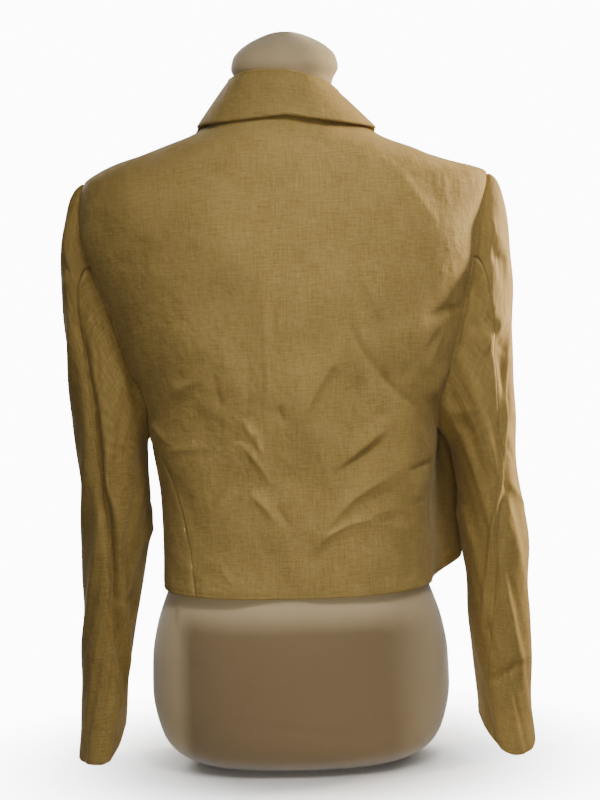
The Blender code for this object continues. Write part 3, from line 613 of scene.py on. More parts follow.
def panel_heights():
    """Rows of the torso panels: close at the hem, then even, and closer at both ends of the armhole."""
    hem = HEM_HEIGHT + np.array(HEM_ROWS)
    waist = np.linspace(hem[-1], UNDERARM_HEIGHT, WAIST_ROWS + 1)[1:]
    even = np.linspace(0.0, 1.0, ARMHOLE_ROWS + 1)[1:]
    closer = (1 - np.cos(math.pi * even)) / 2
    share = ARMHOLE_ROWS_EVEN * even + (1 - ARMHOLE_ROWS_EVEN) * closer
    armhole = UNDERARM_HEIGHT + (SHOULDER_TIP_HEIGHT - UNDERARM_HEIGHT) * share
    shoulder = np.linspace(SHOULDER_TIP_HEIGHT, NECK_SIDE_HEIGHT, SHOULDER_ROWS + 1)[1:]
    return np.concatenate([hem, waist, armhole, shoulder])


def outer_edge(heights, side, behind):
    """Edge of a panel away from its centre: side seam, then armhole, then shoulder seam."""
    seam = np.radians(along(SIDE_SEAM, SIDE_NAMES[side], heights))
    edge = np.where(heights < UNDERARM_HEIGHT, seam, armhole_turn(heights, side, behind))
    edge = np.where(heights >= SHOULDER_TIP_HEIGHT, QUARTER_TURN, edge)
    gap = STITCH_GAP / 2 / torso_radius(edge, heights, side)
    return edge - gap if behind else edge + gap


def hung_heights(turns, heights, side):
    """Bend the hem row and the neck row of a panel: hem dip, right flare and rise to the back neck."""
    low = 1 - ease(HEM_HEIGHT, HEM_HEIGHT + HEM_BAND, heights)
    shift = -HEM_DIP * low * np.clip(np.cos(turns), 0.0, 1.0)
    if side == RIGHT:
        shift = shift + FLARE_RISE * low * bell(turns - FLARE_TURN, FLARE_WIDTH)
    high = np.clip((heights - SHOULDER_TIP_HEIGHT) / (NECK_SIDE_HEIGHT - SHOULDER_TIP_HEIGHT), 0.0, 1.0)
    neck = (NECK_BACK_HEIGHT - NECK_SIDE_HEIGHT) * high * np.clip(np.cos(turns), 0.0, 1.0) ** 2
    return heights + shift + neck


def spread(start, end, steps):
    """Columns evenly spread between two edges that have one value for each row."""
    share = np.linspace(0.0, 1.0, steps + 1)
    return start[:, None] * (1 - share) + end[:, None] * share


def hem_height(above):
    """Turned-up hem: its edge rolls in, and the press has left a faint line a little above it."""
    pressed = HEM_PRESS * bell(above - HEM_PRESS_HEIGHT, HEM_PRESS_WIDTH)
    return -HEM_ROLL * bell(above, HEM_ROLL_WIDTH) - pressed


def add_cloth(node, grid, wall, finish, turned):
    """Make the cloth piece that stands for a node, from the grid of its outer side, with its wall inside."""
    piece = add_surface("linen_" + node, grid, finish, turned)
    shell = piece.modifiers.new("wall", "SOLIDIFY")
    shell.thickness = wall
    shell.offset = -1.0
    shell.use_quality_normals = True
    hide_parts(node)
    return piece


def armpit_sink(heights):
    """Depth of the hollow under the arm, where body and sleeve are pressed together at their seam."""
    return ARMPIT_DEPTH * bell(heights - ARMPIT_HEIGHT, ARMPIT_SPAN)


def back_half(side):
    """Torso patch from the middle to the outer edge, moved out by its creases, drape and seams."""
    heights = panel_heights()
    turns = spread(np.zeros_like(heights), outer_edge(heights, side, True), BACK_COLUMNS)
    levels = hung_heights(turns, heights[:, None], side)
    plain = torso_plain(turns, levels, side)
    from_centre = lengths(plain, 1)
    from_seam = from_centre[:, -1:] - from_centre
    flat = plain[..., 0], plain[..., 2]
    folds = crease_height(*flat, BACK_CREASES) + drape_height(*flat)
    lift = folds * ease(0.0, HOLD_WIDTH, from_seam) + hem_height(heights - HEM_HEIGHT)[:, None]
    sink = np.where(heights < UNDERARM_HEIGHT, SIDE_SINK, SEAM_SINK)[:, None]
    lift = lift - sink * bell(from_seam, SEAM_WIDTH) - armpit_sink(levels) * bell(from_seam, ARMPIT_WIDTH)
    return plain + torso_outward(turns, levels, side) * lift[..., None]


back_grid = np.concatenate([back_half(LEFT)[:, :0:-1], back_half(RIGHT)], axis=1)
back = add_cloth("back", back_grid, PANEL_WALL, linen("linen_back", 0.0), False)


# Fronts
# Each front is one panel of the same linen, from side seam, armhole and shoulder to its free edge.
# The right one laps over the left one at the centre, and its hem swings out to the side.

OVERLAP = 0.018
LAP_STEP = 0.0025
LAP_FADE_START = 0.030
LAP_FADE_END = 0.060
ROLL_FOOT_HEIGHT = 0.268
ROLL_HEAD_HEIGHT = 0.660
ROLL_HEAD_REACH = 0.0665
FRONT_COLUMNS = 80
FRONT_DRAPE_SHIFT = 0.31
FOLD_START = {LEFT: QUARTER_TURN, RIGHT: QUARTER_TURN - 0.2}
FOLD_WHOLE = {LEFT: QUARTER_TURN + 0.16, RIGHT: QUARTER_TURN}
HOLD_TURN = 0.12
FRONT_CREASES = table("foot_x foot_z head_x head_z bow rise plus minus", [
    (0.0240, 0.2560, 0.0900, 0.2840, 0.0040, 0.0030, 0.0090, 0.0056),
    (0.0280, 0.2440, 0.0980, 0.2600, -0.0030, -0.0026, 0.0053, 0.0085),
    (0.0300, 0.2350, 0.0760, 0.2240, 0.0030, 0.0022, 0.0080, 0.0050),
    (0.0980, 0.3000, 0.1350, 0.3300, 0.0020, 0.0026, 0.0080, 0.0050),
    (0.0860, 0.2960, 0.1300, 0.3150, 0.0010, -0.0024, 0.0046, 0.0075),
    (0.1060, 0.3600, 0.1400, 0.4020, 0.0030, 0.0030, 0.0100, 0.0062),
    (0.1000, 0.3800, 0.1320, 0.4230, 0.0020, -0.0024, 0.0053, 0.0085),
    (0.1240, 0.4420, 0.1500, 0.4950, -0.0020, -0.0022, 0.0056, 0.0090),
    (0.0880, 0.1990, 0.0960, 0.2420, 0.0010, 0.0018, 0.0090, 0.0056),
    (-0.0280, 0.2530, -0.0950, 0.2900, -0.0040, 0.0028, 0.0085, 0.0053),
    (-0.0260, 0.2430, -0.0900, 0.2680, 0.0030, -0.0028, 0.0053, 0.0085),
    (-0.0320, 0.2320, -0.0820, 0.2200, -0.0030, 0.0020, 0.0080, 0.0050),
    (-0.0920, 0.3020, -0.1330, 0.3370, -0.0020, 0.0026, 0.0080, 0.0050),
    (-0.1020, 0.2960, -0.1380, 0.3200, 0.0010, -0.0022, 0.0046, 0.0075),
    (-0.1020, 0.3650, -0.1380, 0.4100, -0.0030, 0.0028, 0.0095, 0.0059),
    (-0.1080, 0.3860, -0.1400, 0.4360, 0.0020, -0.0024, 0.0053, 0.0085),
    (-0.1260, 0.4500, -0.1500, 0.5020, 0.0020, -0.0022, 0.0056, 0.0090),
    (-0.0600, 0.2000, -0.0680, 0.2360, 0.0010, 0.0018, 0.0080, 0.0050),
])


def front_point(turns, levels, side, proud):
    """Point of a worn front: torso rings moved out by creases and drape, which its seams hold down, and by
    the lap step and proud."""
    plain = torso_plain(turns, levels, side)
    reach = plain[..., 0] * side
    lap = LAP_STEP * (1 - ease(LAP_FADE_START, LAP_FADE_END, reach))
    folds = crease_height(plain[..., 0], plain[..., 2], FRONT_CREASES)
    folds = folds + drape_height(plain[..., 0] + FRONT_DRAPE_SHIFT, plain[..., 2])
    free = ease(FOLD_START[side], FOLD_WHOLE[side], turns)
    free = free * ease(0.0, HOLD_TURN, turns - outer_edge(levels, side, False))
    lift = folds * free - side * lap + proud
    return plain + torso_outward(turns, levels, side) * lift[..., None]


def turn_at_reach(height, side, reach):
    """Turn at which the front of the torso lies a given distance from the centre line."""
    half = along(TORSO, SIDE_NAMES[side], height)
    square = along(TORSO, "square", height)
    depth = along(TORSO, "front", height) * (1 - np.abs(reach / half) ** square) ** (1 / square)
    return np.mod(np.arctan2(reach, -depth), 2 * math.pi)


def roll_reach(heights):
    """Distance of a front's free edge from the centre line: the overlap, then the roll line."""
    share = np.clip((heights - ROLL_FOOT_HEIGHT) / (ROLL_HEAD_HEIGHT - ROLL_FOOT_HEIGHT), 0.0, 1.0)
    return -OVERLAP + (ROLL_HEAD_REACH + OVERLAP) * share


def front_panel(side):
    """Torso patch from the outer edge to the free edge, sunk along its seams and rolled at its hem."""
    heights = panel_heights()
    free_edge = turn_at_reach(heights, side, roll_reach(heights))
    turns = spread(outer_edge(heights, side, False), free_edge, FRONT_COLUMNS)
    levels = hung_heights(turns, heights[:, None], side)
    from_seam = lengths(torso_plain(turns, levels, side), 1)
    proud = hem_height(heights - HEM_HEIGHT)[:, None] - SEAM_SINK * bell(from_seam, SEAM_WIDTH)
    return front_point(turns, levels, side, proud)


for side, shift in ((LEFT, 3.1), (RIGHT, 4.4)):
    hand = SIDE_NAMES[side]
    finish = linen("linen_front_" + hand, shift)
    panel = add_cloth("front_" + hand, front_panel(side), PANEL_WALL, finish, side == LEFT)


# Lapels
# Each lapel is the top of a front turned back on itself along the roll line and pressed, so it wraps
# the front's free edge and lies on the front up to its point and its gorge.

LAPEL_WALL = 0.0018
LAPEL_HEIGHT_ABOVE = 0.0024
LAPEL_EDGE_LIFT = 0.0004
LAPEL_ROLL_RADIUS = 0.0031
LAPEL = table("height width", [
    (0.278, 0.004), (0.330, 0.020), (0.400, 0.040), (0.470, 0.059), (0.535, 0.075),
    (0.550, 0.062), (0.565, 0.046), (0.580, 0.028), (0.594, 0.008)])
LAPEL_ROWS = 150
ROLL_COLUMNS = 8
LAPEL_COLUMNS = 34


def lapel_sheet(side):
    """Half circle round the front's free edge, then the front's own points moved out to the lapel's edge."""
    heights = np.linspace(LAPEL["height"][0], LAPEL["height"][-1], LAPEL_ROWS + 1)
    width = np.interp(heights, LAPEL["height"], LAPEL["width"])
    swing = np.linspace(-QUARTER_TURN, QUARTER_TURN, ROLL_COLUMNS + 1)
    share = np.linspace(0.0, 1.0, LAPEL_COLUMNS + 1)[1:]
    rolled = np.broadcast_to(-LAPEL_ROLL_RADIUS * np.cos(swing), (len(heights), len(swing)))
    reach = roll_reach(heights)[:, None] + np.concatenate([rolled, width[:, None] * share], axis=1)
    around = LAPEL_HEIGHT_ABOVE - LAPEL_ROLL_RADIUS * (1 - np.sin(swing))
    proud = np.concatenate([around, LAPEL_HEIGHT_ABOVE + LAPEL_EDGE_LIFT * share ** 2])
    turns = turn_at_reach(heights[:, None], side, reach)
    levels = np.broadcast_to(heights[:, None], turns.shape)
    return front_point(turns, levels, side, proud)


for side, shift in ((LEFT, 5.3), (RIGHT, 6.2)):
    hand = SIDE_NAMES[side]
    finish = linen("linen_lapel_" + hand, shift)
    lapel = add_cloth("lapel_" + hand, lapel_sheet(side), LAPEL_WALL, finish, side == RIGHT)


# Collar
# The collar is one strip with a firm cloth inside it. Its stand rises from the neck seam, folds over
# sharply, and its fall lies on the back and shoulders and runs down to the gorges in front.

COLLAR_WALL = 0.0022
COLLAR = table("station seam_turn seam_height fold_rise fold_lean edge_turn edge_height", [
    (0.00, 0, 0.6760, 0.0315, -0.005, 0, 0.6575),
    (0.22, 40, 0.6720, 0.0310, -0.0085, 42, 0.6515),
    (0.42, 80, 0.6650, 0.0315, -0.0150, 78, 0.6490),
    (0.52, 100, 0.6645, 0.0300, -0.0145, 96, 0.6480),
    (0.64, 124, 0.6610, 0.024, -0.005, 108, 0.641),
    (0.80, 138, 0.6440, 0.015, 0.003, 120, 0.613),
    (1.00, 152, 0.6060, 0.006, 0.005, 132, 0.562),
])
COLLAR_FOLD_RADIUS = 0.0032
COLLAR_EDGE_LIFT = 0.0054
COLLAR_FALL_SWELL = 0.0010
COLLAR_FALL_START = 0.35
FOLD_TILT = 0.0070
EDGE_TILT = 0.0025
TILT_FADE_START = 0.52
TILT_FADE_END = 0.80
COLLAR_STATIONS = 90
STAND_STEPS = 8
FOLD_STEPS = 10
FALL_STEPS = 22


def collar_half(station, side):
    """Sections from neck seam to lower edge: a straight stand, half a circle over the fold, a bowed fall."""
    read = {column: along(COLLAR, column, station, "station") for column in COLLAR if column != "station"}
    seam_turn, edge_turn = np.radians(read["seam_turn"]), np.radians(read["edge_turn"])
    tilt = side * (1 - ease(TILT_FADE_START, TILT_FADE_END, station))
    rise = (read["fold_rise"] + FOLD_TILT * tilt * np.sin(seam_turn))[:, None]
    lean = read["fold_lean"][:, None]
    edge_height = read["edge_height"] + EDGE_TILT * tilt * np.sin(edge_turn)
    seam = torso_plain(seam_turn, read["seam_height"], side)
    outward = torso_outward(edge_turn, edge_height, side)
    edge = torso_plain(edge_turn, edge_height, side)
    lap = LAP_STEP * (1 - ease(LAP_FADE_START, LAP_FADE_END, edge[:, 0] * side)) * (edge_turn > QUARTER_TURN)
    edge = edge + outward * (COLLAR_EDGE_LIFT - side * lap)[:, None]
    away_from_neck = np.stack([side * np.sin(seam_turn), np.cos(seam_turn), np.zeros(len(station))], axis=-1)
    up = np.array([0.0, 0.0, 1.0])
    fold = seam + rise * up + lean * away_from_neck
    radius = np.minimum(COLLAR_FOLD_RADIUS, rise)
    inner = fold - radius * (away_from_neck + up)
    outer = fold + radius * (away_from_neck - up)
    control = outer + (edge - outer) * COLLAR_FALL_START + outward * COLLAR_FALL_SWELL
    stand = np.linspace(0.0, 1.0, STAND_STEPS + 1)[:-1, None, None]
    swing = np.linspace(0.0, math.pi, FOLD_STEPS + 1)[:-1, None, None]
    fall = np.linspace(0.0, 1.0, FALL_STEPS + 1)[:, None, None]
    over = fold - radius * up + radius * (np.sin(swing) * up - np.cos(swing) * away_from_neck)
    lying = (1 - fall) ** 2 * outer + 2 * fall * (1 - fall) * control + fall ** 2 * edge
    return np.concatenate([seam + (inner - seam) * stand, over, lying], axis=0)


station = np.linspace(0.0, 1.0, COLLAR_STATIONS + 1)
collar_grid = np.concatenate([collar_half(station[::-1], LEFT), collar_half(station[1:], RIGHT)], axis=1)
collar = add_cloth("collar", collar_grid, COLLAR_WALL, linen("linen_collar", 7.5), True)


# Sleeves
# Each sleeve is a top sleeve over the outside of the arm and an under sleeve inside it, sewn together
# down the hindarm and the forearm. They are set into the armholes, hang empty, and crease as they hang.

SLEEVES = {
    LEFT: table("height centre_x centre_y half_x half_y", [
        (0.003, 0.2110, -0.026, 0.0245, 0.050),
        (0.069, 0.2055, -0.022, 0.0245, 0.051),
        (0.121, 0.2010, -0.018, 0.0260, 0.054),
        (0.171, 0.1938, -0.014, 0.0298, 0.057),
        (0.223, 0.1900, -0.012, 0.0335, 0.060),
        (0.274, 0.1875, -0.011, 0.0372, 0.062),
        (0.318, 0.1888, -0.010, 0.0377, 0.064),
    ]),
    RIGHT: table("height centre_x centre_y half_x half_y", [
        (0.003, 0.2160, -0.026, 0.0300, 0.050),
        (0.069, 0.2120, -0.022, 0.0295, 0.051),
        (0.110, 0.2100, -0.019, 0.0310, 0.054),
        (0.162, 0.2070, -0.015, 0.0325, 0.057),
        (0.226, 0.2040, -0.012, 0.0340, 0.060),
        (0.285, 0.1990, -0.011, 0.0325, 0.062),
        (0.318, 0.1950, -0.010, 0.0350, 0.064),
    ]),
}
CAP_FOOT_HEIGHT = 0.318
CAP_LATERAL = {LEFT: 0.100, RIGHT: 0.080}
CAP_LATERAL_LEAST = 0.015
CAP_LATERAL_POWER = 1.5
CAP_BACKWARD = {LEFT: 0.030, RIGHT: 0.050}
CAP_DOWNWARD = 0.020
CAP_FALL = 1.2
FOREARM_SEAM = math.radians(245)
CUFF = table("angle left right", [
    (-115, 0.030, 0.032), (-60, 0.016, 0.024), (0, 0.005, 0.013), (40, 0.003, 0.004), (80, 0.003, 0.002),
    (117, 0.006, 0.010), (150, 0.020, 0.025), (180, 0.033, 0.036), (245, 0.030, 0.032)])
HINDARM = table("share angle", [(0.00, 66), (0.11, 73), (0.27, 89), (0.50, 106), (0.77, 127), (1.00, 132)])
HINDARM_SWING = math.radians(4)
LONG_FOLD = {
    LEFT: table("height angle rise beside", [
        (0.050, 165, 0.0000, 0.0000),
        (0.076, 158, -0.0040, 0.0012),
        (0.106, 143, -0.0070, 0.0018),
        (0.156, 115, -0.0095, 0.0024),
        (0.202, 100, -0.0105, 0.0026),
        (0.241, 91, -0.0110, 0.0028),
        (0.274, 81, -0.0115, 0.0028),
        (0.296, 75, -0.0115, 0.0028),
        (0.351, 74, -0.0110, 0.0026),
        (0.381, 73, -0.0100, 0.0024),
        (0.417, 72, -0.0085, 0.0018),
        (0.462, 68, -0.0050, 0.0010),
        (0.505, 68, 0.0000, 0.0000),
    ]),
    RIGHT: table("height angle rise beside", [
        (0.125, 135, 0.0000, 0.0000),
        (0.149, 128, 0.0014, -0.0006),
        (0.191, 114, 0.0026, -0.0022),
        (0.229, 103, 0.0031, -0.0032),
        (0.261, 90, 0.0035, -0.0036),
        (0.290, 77, 0.0039, -0.0038),
        (0.321, 62, 0.0041, -0.0042),
        (0.353, 54, 0.0041, -0.0040),
        (0.386, 50, 0.0036, -0.0030),
        (0.422, 41, 0.0026, -0.0016),
        (0.450, 30, 0.0000, 0.0000),
    ]),
}
LONG_FOLD_WIDTHS = {LEFT: (0.0080, 0.0060), RIGHT: (0.0040, 0.0036)}
BESIDE_STEP = {LEFT: 0.0110, RIGHT: -0.0105}
BESIDE_WIDTH = 0.0065
SLEEVE_GIRTH = 0.045
SLEEVE_CREASES = {
    LEFT: table("foot_angle foot_z head_angle head_z bow rise plus minus", [
        (93, 0.355, 82, 0.484, 0.0040, -0.0026, 0.0046, 0.0075),
        (51, 0.541, 67, 0.529, 0.0000, -0.0020, 0.0037, 0.0060),
        (47, 0.528, 64, 0.523, 0.0000, 0.0016, 0.0060, 0.0037),
        (39, 0.520, 77, 0.505, 0.0020, -0.0030, 0.0043, 0.0070),
        (44, 0.503, 74, 0.498, 0.0000, 0.0022, 0.0070, 0.0043),
        (125, 0.082, 148, 0.061, 0.0000, 0.0020, 0.0090, 0.0056),
        (60, 0.112, 85, 0.108, 0.0010, -0.0011, 0.0031, 0.0050),
        (66, 0.092, 92, 0.086, 0.0010, -0.0011, 0.0031, 0.0050),
        (56, 0.073, 80, 0.069, 0.0010, -0.0010, 0.0031, 0.0050),
        (108, 0.178, 157, 0.173, 0.0000, -0.0020, 0.0031, 0.0050),
        (40, 0.300, 20, 0.352, 0.0020, 0.0018, 0.0090, 0.0056),
        (150, 0.250, 200, 0.282, 0.0020, -0.0026, 0.0050, 0.0080),
        (156, 0.232, 215, 0.246, -0.0020, 0.0022, 0.0075, 0.0046),
        (-40, 0.262, -95, 0.232, 0.0020, -0.0030, 0.0053, 0.0085),
        (-30, 0.240, -88, 0.214, 0.0020, 0.0026, 0.0080, 0.0050),
        (-46, 0.296, -100, 0.280, 0.0010, -0.0024, 0.0050, 0.0080),
        (-20, 0.150, -70, 0.128, 0.0020, -0.0020, 0.0046, 0.0075),
        (-60, 0.470, -20, 0.540, 0.0020, -0.0022, 0.0056, 0.0090),
    ]),
    RIGHT: table("foot_angle foot_z head_angle head_z bow rise plus minus", [
        (83, 0.420, 43, 0.455, 0.0020, 0.0040, 0.0075, 0.0046),
        (61, 0.431, 48, 0.421, 0.0000, -0.0030, 0.0043, 0.0070),
        (97, 0.441, 69, 0.452, 0.0010, -0.0030, 0.0050, 0.0080),
        (133, 0.356, 104, 0.363, 0.0000, 0.0020, 0.0060, 0.0037),
        (134, 0.346, 120, 0.350, 0.0000, -0.0020, 0.0031, 0.0050),
        (71, 0.272, 61, 0.235, 0.0000, -0.0024, 0.0040, 0.0065),
        (62, 0.290, 20, 0.258, -0.0010, 0.0026, 0.0070, 0.0043),
        (126, 0.083, 56, 0.100, -0.0030, -0.0052, 0.0046, 0.0075),
        (62, 0.100, 28, 0.103, 0.0010, 0.0028, 0.0075, 0.0046),
        (126, 0.070, 91, 0.082, 0.0010, 0.0028, 0.0080, 0.0050),
        (108, 0.129, 67, 0.097, 0.0000, 0.0016, 0.0140, 0.0087),
        (100, 0.024, 100, 0.046, 0.0000, -0.0014, 0.0037, 0.0060),
        (78, 0.010, 86, 0.046, 0.0000, 0.0014, 0.0070, 0.0043),
        (66, 0.524, 53, 0.584, 0.0010, 0.0014, 0.0070, 0.0043),
        (56, 0.517, 36, 0.508, 0.0010, -0.0022, 0.0040, 0.0065),
        (52, 0.338, 21, 0.268, 0.0010, -0.0034, 0.0050, 0.0060),
        (78, 0.423, 63, 0.467, 0.0010, 0.0028, 0.0046, 0.0040),
        (70, 0.462, 62, 0.509, -0.0010, 0.0022, 0.0044, 0.0040),
        (62, 0.509, 40, 0.557, 0.0010, 0.0018, 0.0044, 0.0040),
        (150, 0.262, 205, 0.288, 0.0020, -0.0026, 0.0050, 0.0080),
        (160, 0.240, 212, 0.254, -0.0020, 0.0022, 0.0075, 0.0046),
        (-38, 0.270, -92, 0.240, 0.0020, -0.0030, 0.0053, 0.0085),
        (-32, 0.248, -90, 0.220, 0.0020, 0.0026, 0.0080, 0.0050),
        (-48, 0.302, -98, 0.286, 0.0010, -0.0024, 0.0050, 0.0080),
        (-24, 0.158, -72, 0.134, 0.0020, -0.0020, 0.0046, 0.0075),
        (-58, 0.476, -22, 0.544, 0.0020, -0.0022, 0.0056, 0.0090),
    ]),
}
SLEEVE_DRAPE_SHIFT = 0.3
SLEEVE_DRAPE_SPREAD = 0.2
ALLOWANCE_DEPTH = 0.0021
ALLOWANCE_REACH = 0.0040
CAP_ROWS = 96
ARM_ROWS = 128
CUFF_ROWS = (0.98, 0.986, 0.991, 0.995, 0.998, 1.0)
TOP_SLEEVE_COLUMNS = 100
UNDER_SLEEVE_COLUMNS = 76


def sleeve_ring(angle, height, side):
    """Oval of the sleeve at a height: angle 0 at its outer side, a quarter turn at its back."""
    rows = SLEEVES[side]
    across = along(rows, "half_x", height) * np.cos(angle)
    x = side * (along(rows, "centre_x", height) + across)
    y = along(rows, "centre_y", height) + along(rows, "half_y", height) * np.sin(angle)
    return np.stack([x, y, height], axis=-1)


def sleeve_cap(angle, share, side):
    """Head of the sleeve: cubic curves that leave the armhole sideways and end along the arm's own slope."""
    start = armhole_point(angle, side)
    high = ((1 + np.cos(angle)) / 2) ** CAP_LATERAL_POWER
    lateral = side * (CAP_LATERAL_LEAST + CAP_LATERAL[side] * high)
    backward = CAP_BACKWARD[side] * np.sin(angle)
    leave = np.stack([lateral, backward, np.full_like(angle, -CAP_DOWNWARD)], axis=-1)
    start = start + STITCH_GAP * leave / np.linalg.norm(leave, axis=-1, keepdims=True)
    end = sleeve_ring(angle, np.full_like(angle, CAP_FOOT_HEIGHT), side)
    below = sleeve_ring(angle, np.full_like(angle, CAP_FOOT_HEIGHT - NORMAL_STEP), side)
    arrive = (end - below) / NORMAL_STEP * (CAP_FALL * (end[..., 2] - start[..., 2]))[..., None]
    t = share[..., None]
    from_start = (1 + 2 * t) * (1 - t) ** 2 * start + t * (1 - t) ** 2 * leave
    from_end = t * t * (3 - 2 * t) * end + t * t * (t - 1) * arrive
    return from_start + from_end


def sleeve_rows():
    """Rows of a sleeve: share of the cap, then share of the arm below it, close together at the cuff."""
    arm_share = np.concatenate([np.linspace(0.0, CUFF_ROWS[0], ARM_ROWS + 1)[1:], CUFF_ROWS[1:]])
    cap = np.concatenate([np.linspace(0.0, 1.0, CAP_ROWS + 1), np.ones(len(arm_share))])
    return cap, np.concatenate([np.zeros(CAP_ROWS + 1), arm_share])


def hindarm_angle(cap, arm):
    """Angle of the hindarm seam at shares of the cap and of the arm below it."""
    return np.radians(along(HINDARM, "angle", arm, "share")) + HINDARM_SWING * (1 - cap)


def around_arm(creases):
    """Creases of a sleeve, with the angles of their ends turned into lengths round the arm."""
    ends = {end: np.radians(creases[end]) * SLEEVE_GIRTH for end in ("foot_angle", "head_angle")}
    return {**creases, **ends}


def long_fold_height(angles, heights, side):
    """Long fold down the back of a sleeve: a bell across a line of angles, of one width on its outer side
    and another on its inner side, with a second one beside it."""
    line = LONG_FOLD[side]
    off = (angles - np.radians(along(line, "angle", heights))) * SLEEVE_GIRTH
    outer, inner = LONG_FOLD_WIDTHS[side]
    main = along(line, "rise", heights) * bell(off, np.where(off < 0, outer, inner))
    return main + along(line, "beside", heights) * bell(off - BESIDE_STEP[side], BESIDE_WIDTH)


def grid_outward(grid, turned):
    """Unit normal of a grid of points, from the slopes of its rows and columns."""
    normal = np.cross(np.gradient(grid, axis=1), np.gradient(grid, axis=0))
    normal = -normal if turned else normal
    return normal / np.linalg.norm(normal, axis=-1, keepdims=True)


def seam_allowance(edge, angle, body_out):
    """Two rows that turn a sleeve's edge in: straight into the body, then away from the armhole's middle
    behind the body's panels."""
    away = np.stack([np.zeros_like(angle), np.sin(angle), np.cos(angle)], axis=-1)
    away = away - body_out * np.sum(away * body_out, axis=-1, keepdims=True)
    away = away / np.linalg.norm(away, axis=-1, keepdims=True)
    turned_in = edge - body_out * ALLOWANCE_DEPTH
    return np.concatenate([turned_in + away * ALLOWANCE_REACH - body_out * STITCH_GAP, turned_in], axis=0)


def sleeve_sheet(angles, side):
    """Sleeve piece from its turned-in edge at the armhole to its slanted cuff: cap and oval arm, moved out by
    creases, long fold and drape, and sunk at the seam and under the arm."""
    cap, arm = (np.broadcast_to(share[:, None], angles.shape) for share in sleeve_rows())
    cuff = along(CUFF, SIDE_NAMES[side], np.degrees(angles), "angle")
    heights = CAP_FOOT_HEIGHT + (cuff - CAP_FOOT_HEIGHT) * arm
    plain = np.where((cap < 1)[..., None], sleeve_cap(angles, cap, side), sleeve_ring(angles, heights, side))
    levels = plain[..., 2]
    folds = crease_height(angles * SLEEVE_GIRTH, levels, around_arm(SLEEVE_CREASES[side]))
    folds = folds + long_fold_height(angles, levels, side)
    folds = folds + drape_height(np.sin(angles) * SLEEVE_GIRTH + SLEEVE_DRAPE_SHIFT * side,
                                 levels + SLEEVE_DRAPE_SPREAD * np.cos(angles))
    from_armhole = lengths(plain, 0)
    lift = folds * ease(0.0, HOLD_WIDTH, from_armhole) - SEAM_SINK * bell(from_armhole, SEAM_WIDTH)
    lift = lift + hem_height(from_armhole[-1:] - from_armhole)
    armhole = plain[:1]
    hollow = armpit_sink(armhole[..., 2]) * (armhole[..., 1] > 0) * bell(from_armhole, ARMPIT_WIDTH)
    body_out = torso_outward(np.arctan2(side * armhole[..., 0], armhole[..., 1]), armhole[..., 2], side)
    sheet = plain + grid_outward(plain, side == LEFT) * lift[..., None] - body_out * hollow[..., None]
    return np.concatenate([seam_allowance(sheet[:1], angles[:1], body_out), sheet], axis=0)


# Painted shade: the left sleeve's cloth is darkened all over, where the light falls off to that side.
for side, shift, painted_shade in ((LEFT, 8.2, 0.21), (RIGHT, 9.6, 0.0)):
    hand = SIDE_NAMES[side]
    hind = hindarm_angle(*sleeve_rows())
    fore = np.full_like(hind, FOREARM_SEAM)
    gap = STITCH_GAP / 2 / SLEEVE_GIRTH
    over = spread(fore - 2 * math.pi + gap, hind - gap, TOP_SLEEVE_COLUMNS)
    under = spread(hind + gap, fore - gap, UNDER_SLEEVE_COLUMNS)
    pieces = (("top_sleeve_" + hand, over, (0.215, 0.610), 0.0915),
              ("under_sleeve_" + hand, under, (0.160, 0.560), 0.0567))
    finish = linen("linen_sleeve_" + hand, shift, painted_shade)
    for node, angles, flat, area in pieces:
        sleeve = add_cloth(node, sleeve_sheet(angles, side), PANEL_WALL, finish, side == LEFT)


# Button
# One plain round horn button closes the right front at the foot of the lapels. It is turned with a
# raised rim and a dished middle, and linen thread through four holes holds it.

BUTTON_HEIGHT = 0.252
BUTTON_STAND = 0.0006
BUTTON_ROUND = table("radius level", [
    (0.0003, 0.0000), (0.0088, 0.0000), (0.0097, 0.0004), (0.0100, 0.0012),
    (0.0100, 0.0026), (0.0096, 0.0033), (0.0087, 0.0036), (0.0079, 0.0034),
    (0.0072, 0.0028), (0.0062, 0.0025), (0.0040, 0.0024), (0.0003, 0.0024)])
BUTTON_RIM_TOP = 6
BUTTON_STEPS = 6
BUTTON_SIDES = 64
HOLE_REACH = 0.0021
HOLE_STEP = HOLE_REACH / math.sqrt(2)
HOLE_RADIUS = 0.0008
HOLE_FLOOR_RADIUS = 0.00048
HOLE_DEPTH = 0.0012
THREAD_RADIUS = 0.0005
THREAD_STEPS = 24
THREAD_SIDES = 12
THREAD_LEVEL = 0.0024
THREAD_ARCH = 0.0006
THREAD_DIP = 0.0005
HORN_DARK = (0.075, 0.040, 0.015, 1.0)
HORN_LIGHT = (0.240, 0.145, 0.060, 1.0)
HORN_STREAKS = (130.0, 500.0, 3.0)
HORN_STREAK_ENDS = (0.35, 0.70)
HORN_FLECKS = 900.0
HORN_FLECK_TONE = 0.2
HORN_FLECK_RISE = 0.00003
HORN_ROUGHNESS = (0.28, 0.16)
THREAD_DARK = (0.200, 0.130, 0.050, 1.0)
THREAD_LIGHT = (0.420, 0.300, 0.140, 1.0)
THREAD_TWIST = 0.0008
THREAD_TWIST_RISE = 0.00005
THREAD_ROUGHNESS = (0.80, 0.10)

centre_front = np.array([math.pi])
button_level = np.array([BUTTON_HEIGHT])
button_out = torso_outward(centre_front, button_level, RIGHT)[0]
button_foot = front_point(centre_front, button_level, RIGHT, np.array([BUTTON_STAND]))[0]
button_across = np.array([1.0, 0.0, 0.0])
button_up = np.cross(button_across, button_out)


def on_button(across, up, level):
    """Place a point by its distances across, up and out from the middle of the button's back."""
    return (button_foot + across[..., None] * button_across + up[..., None] * button_up
            + level[..., None] * button_out)


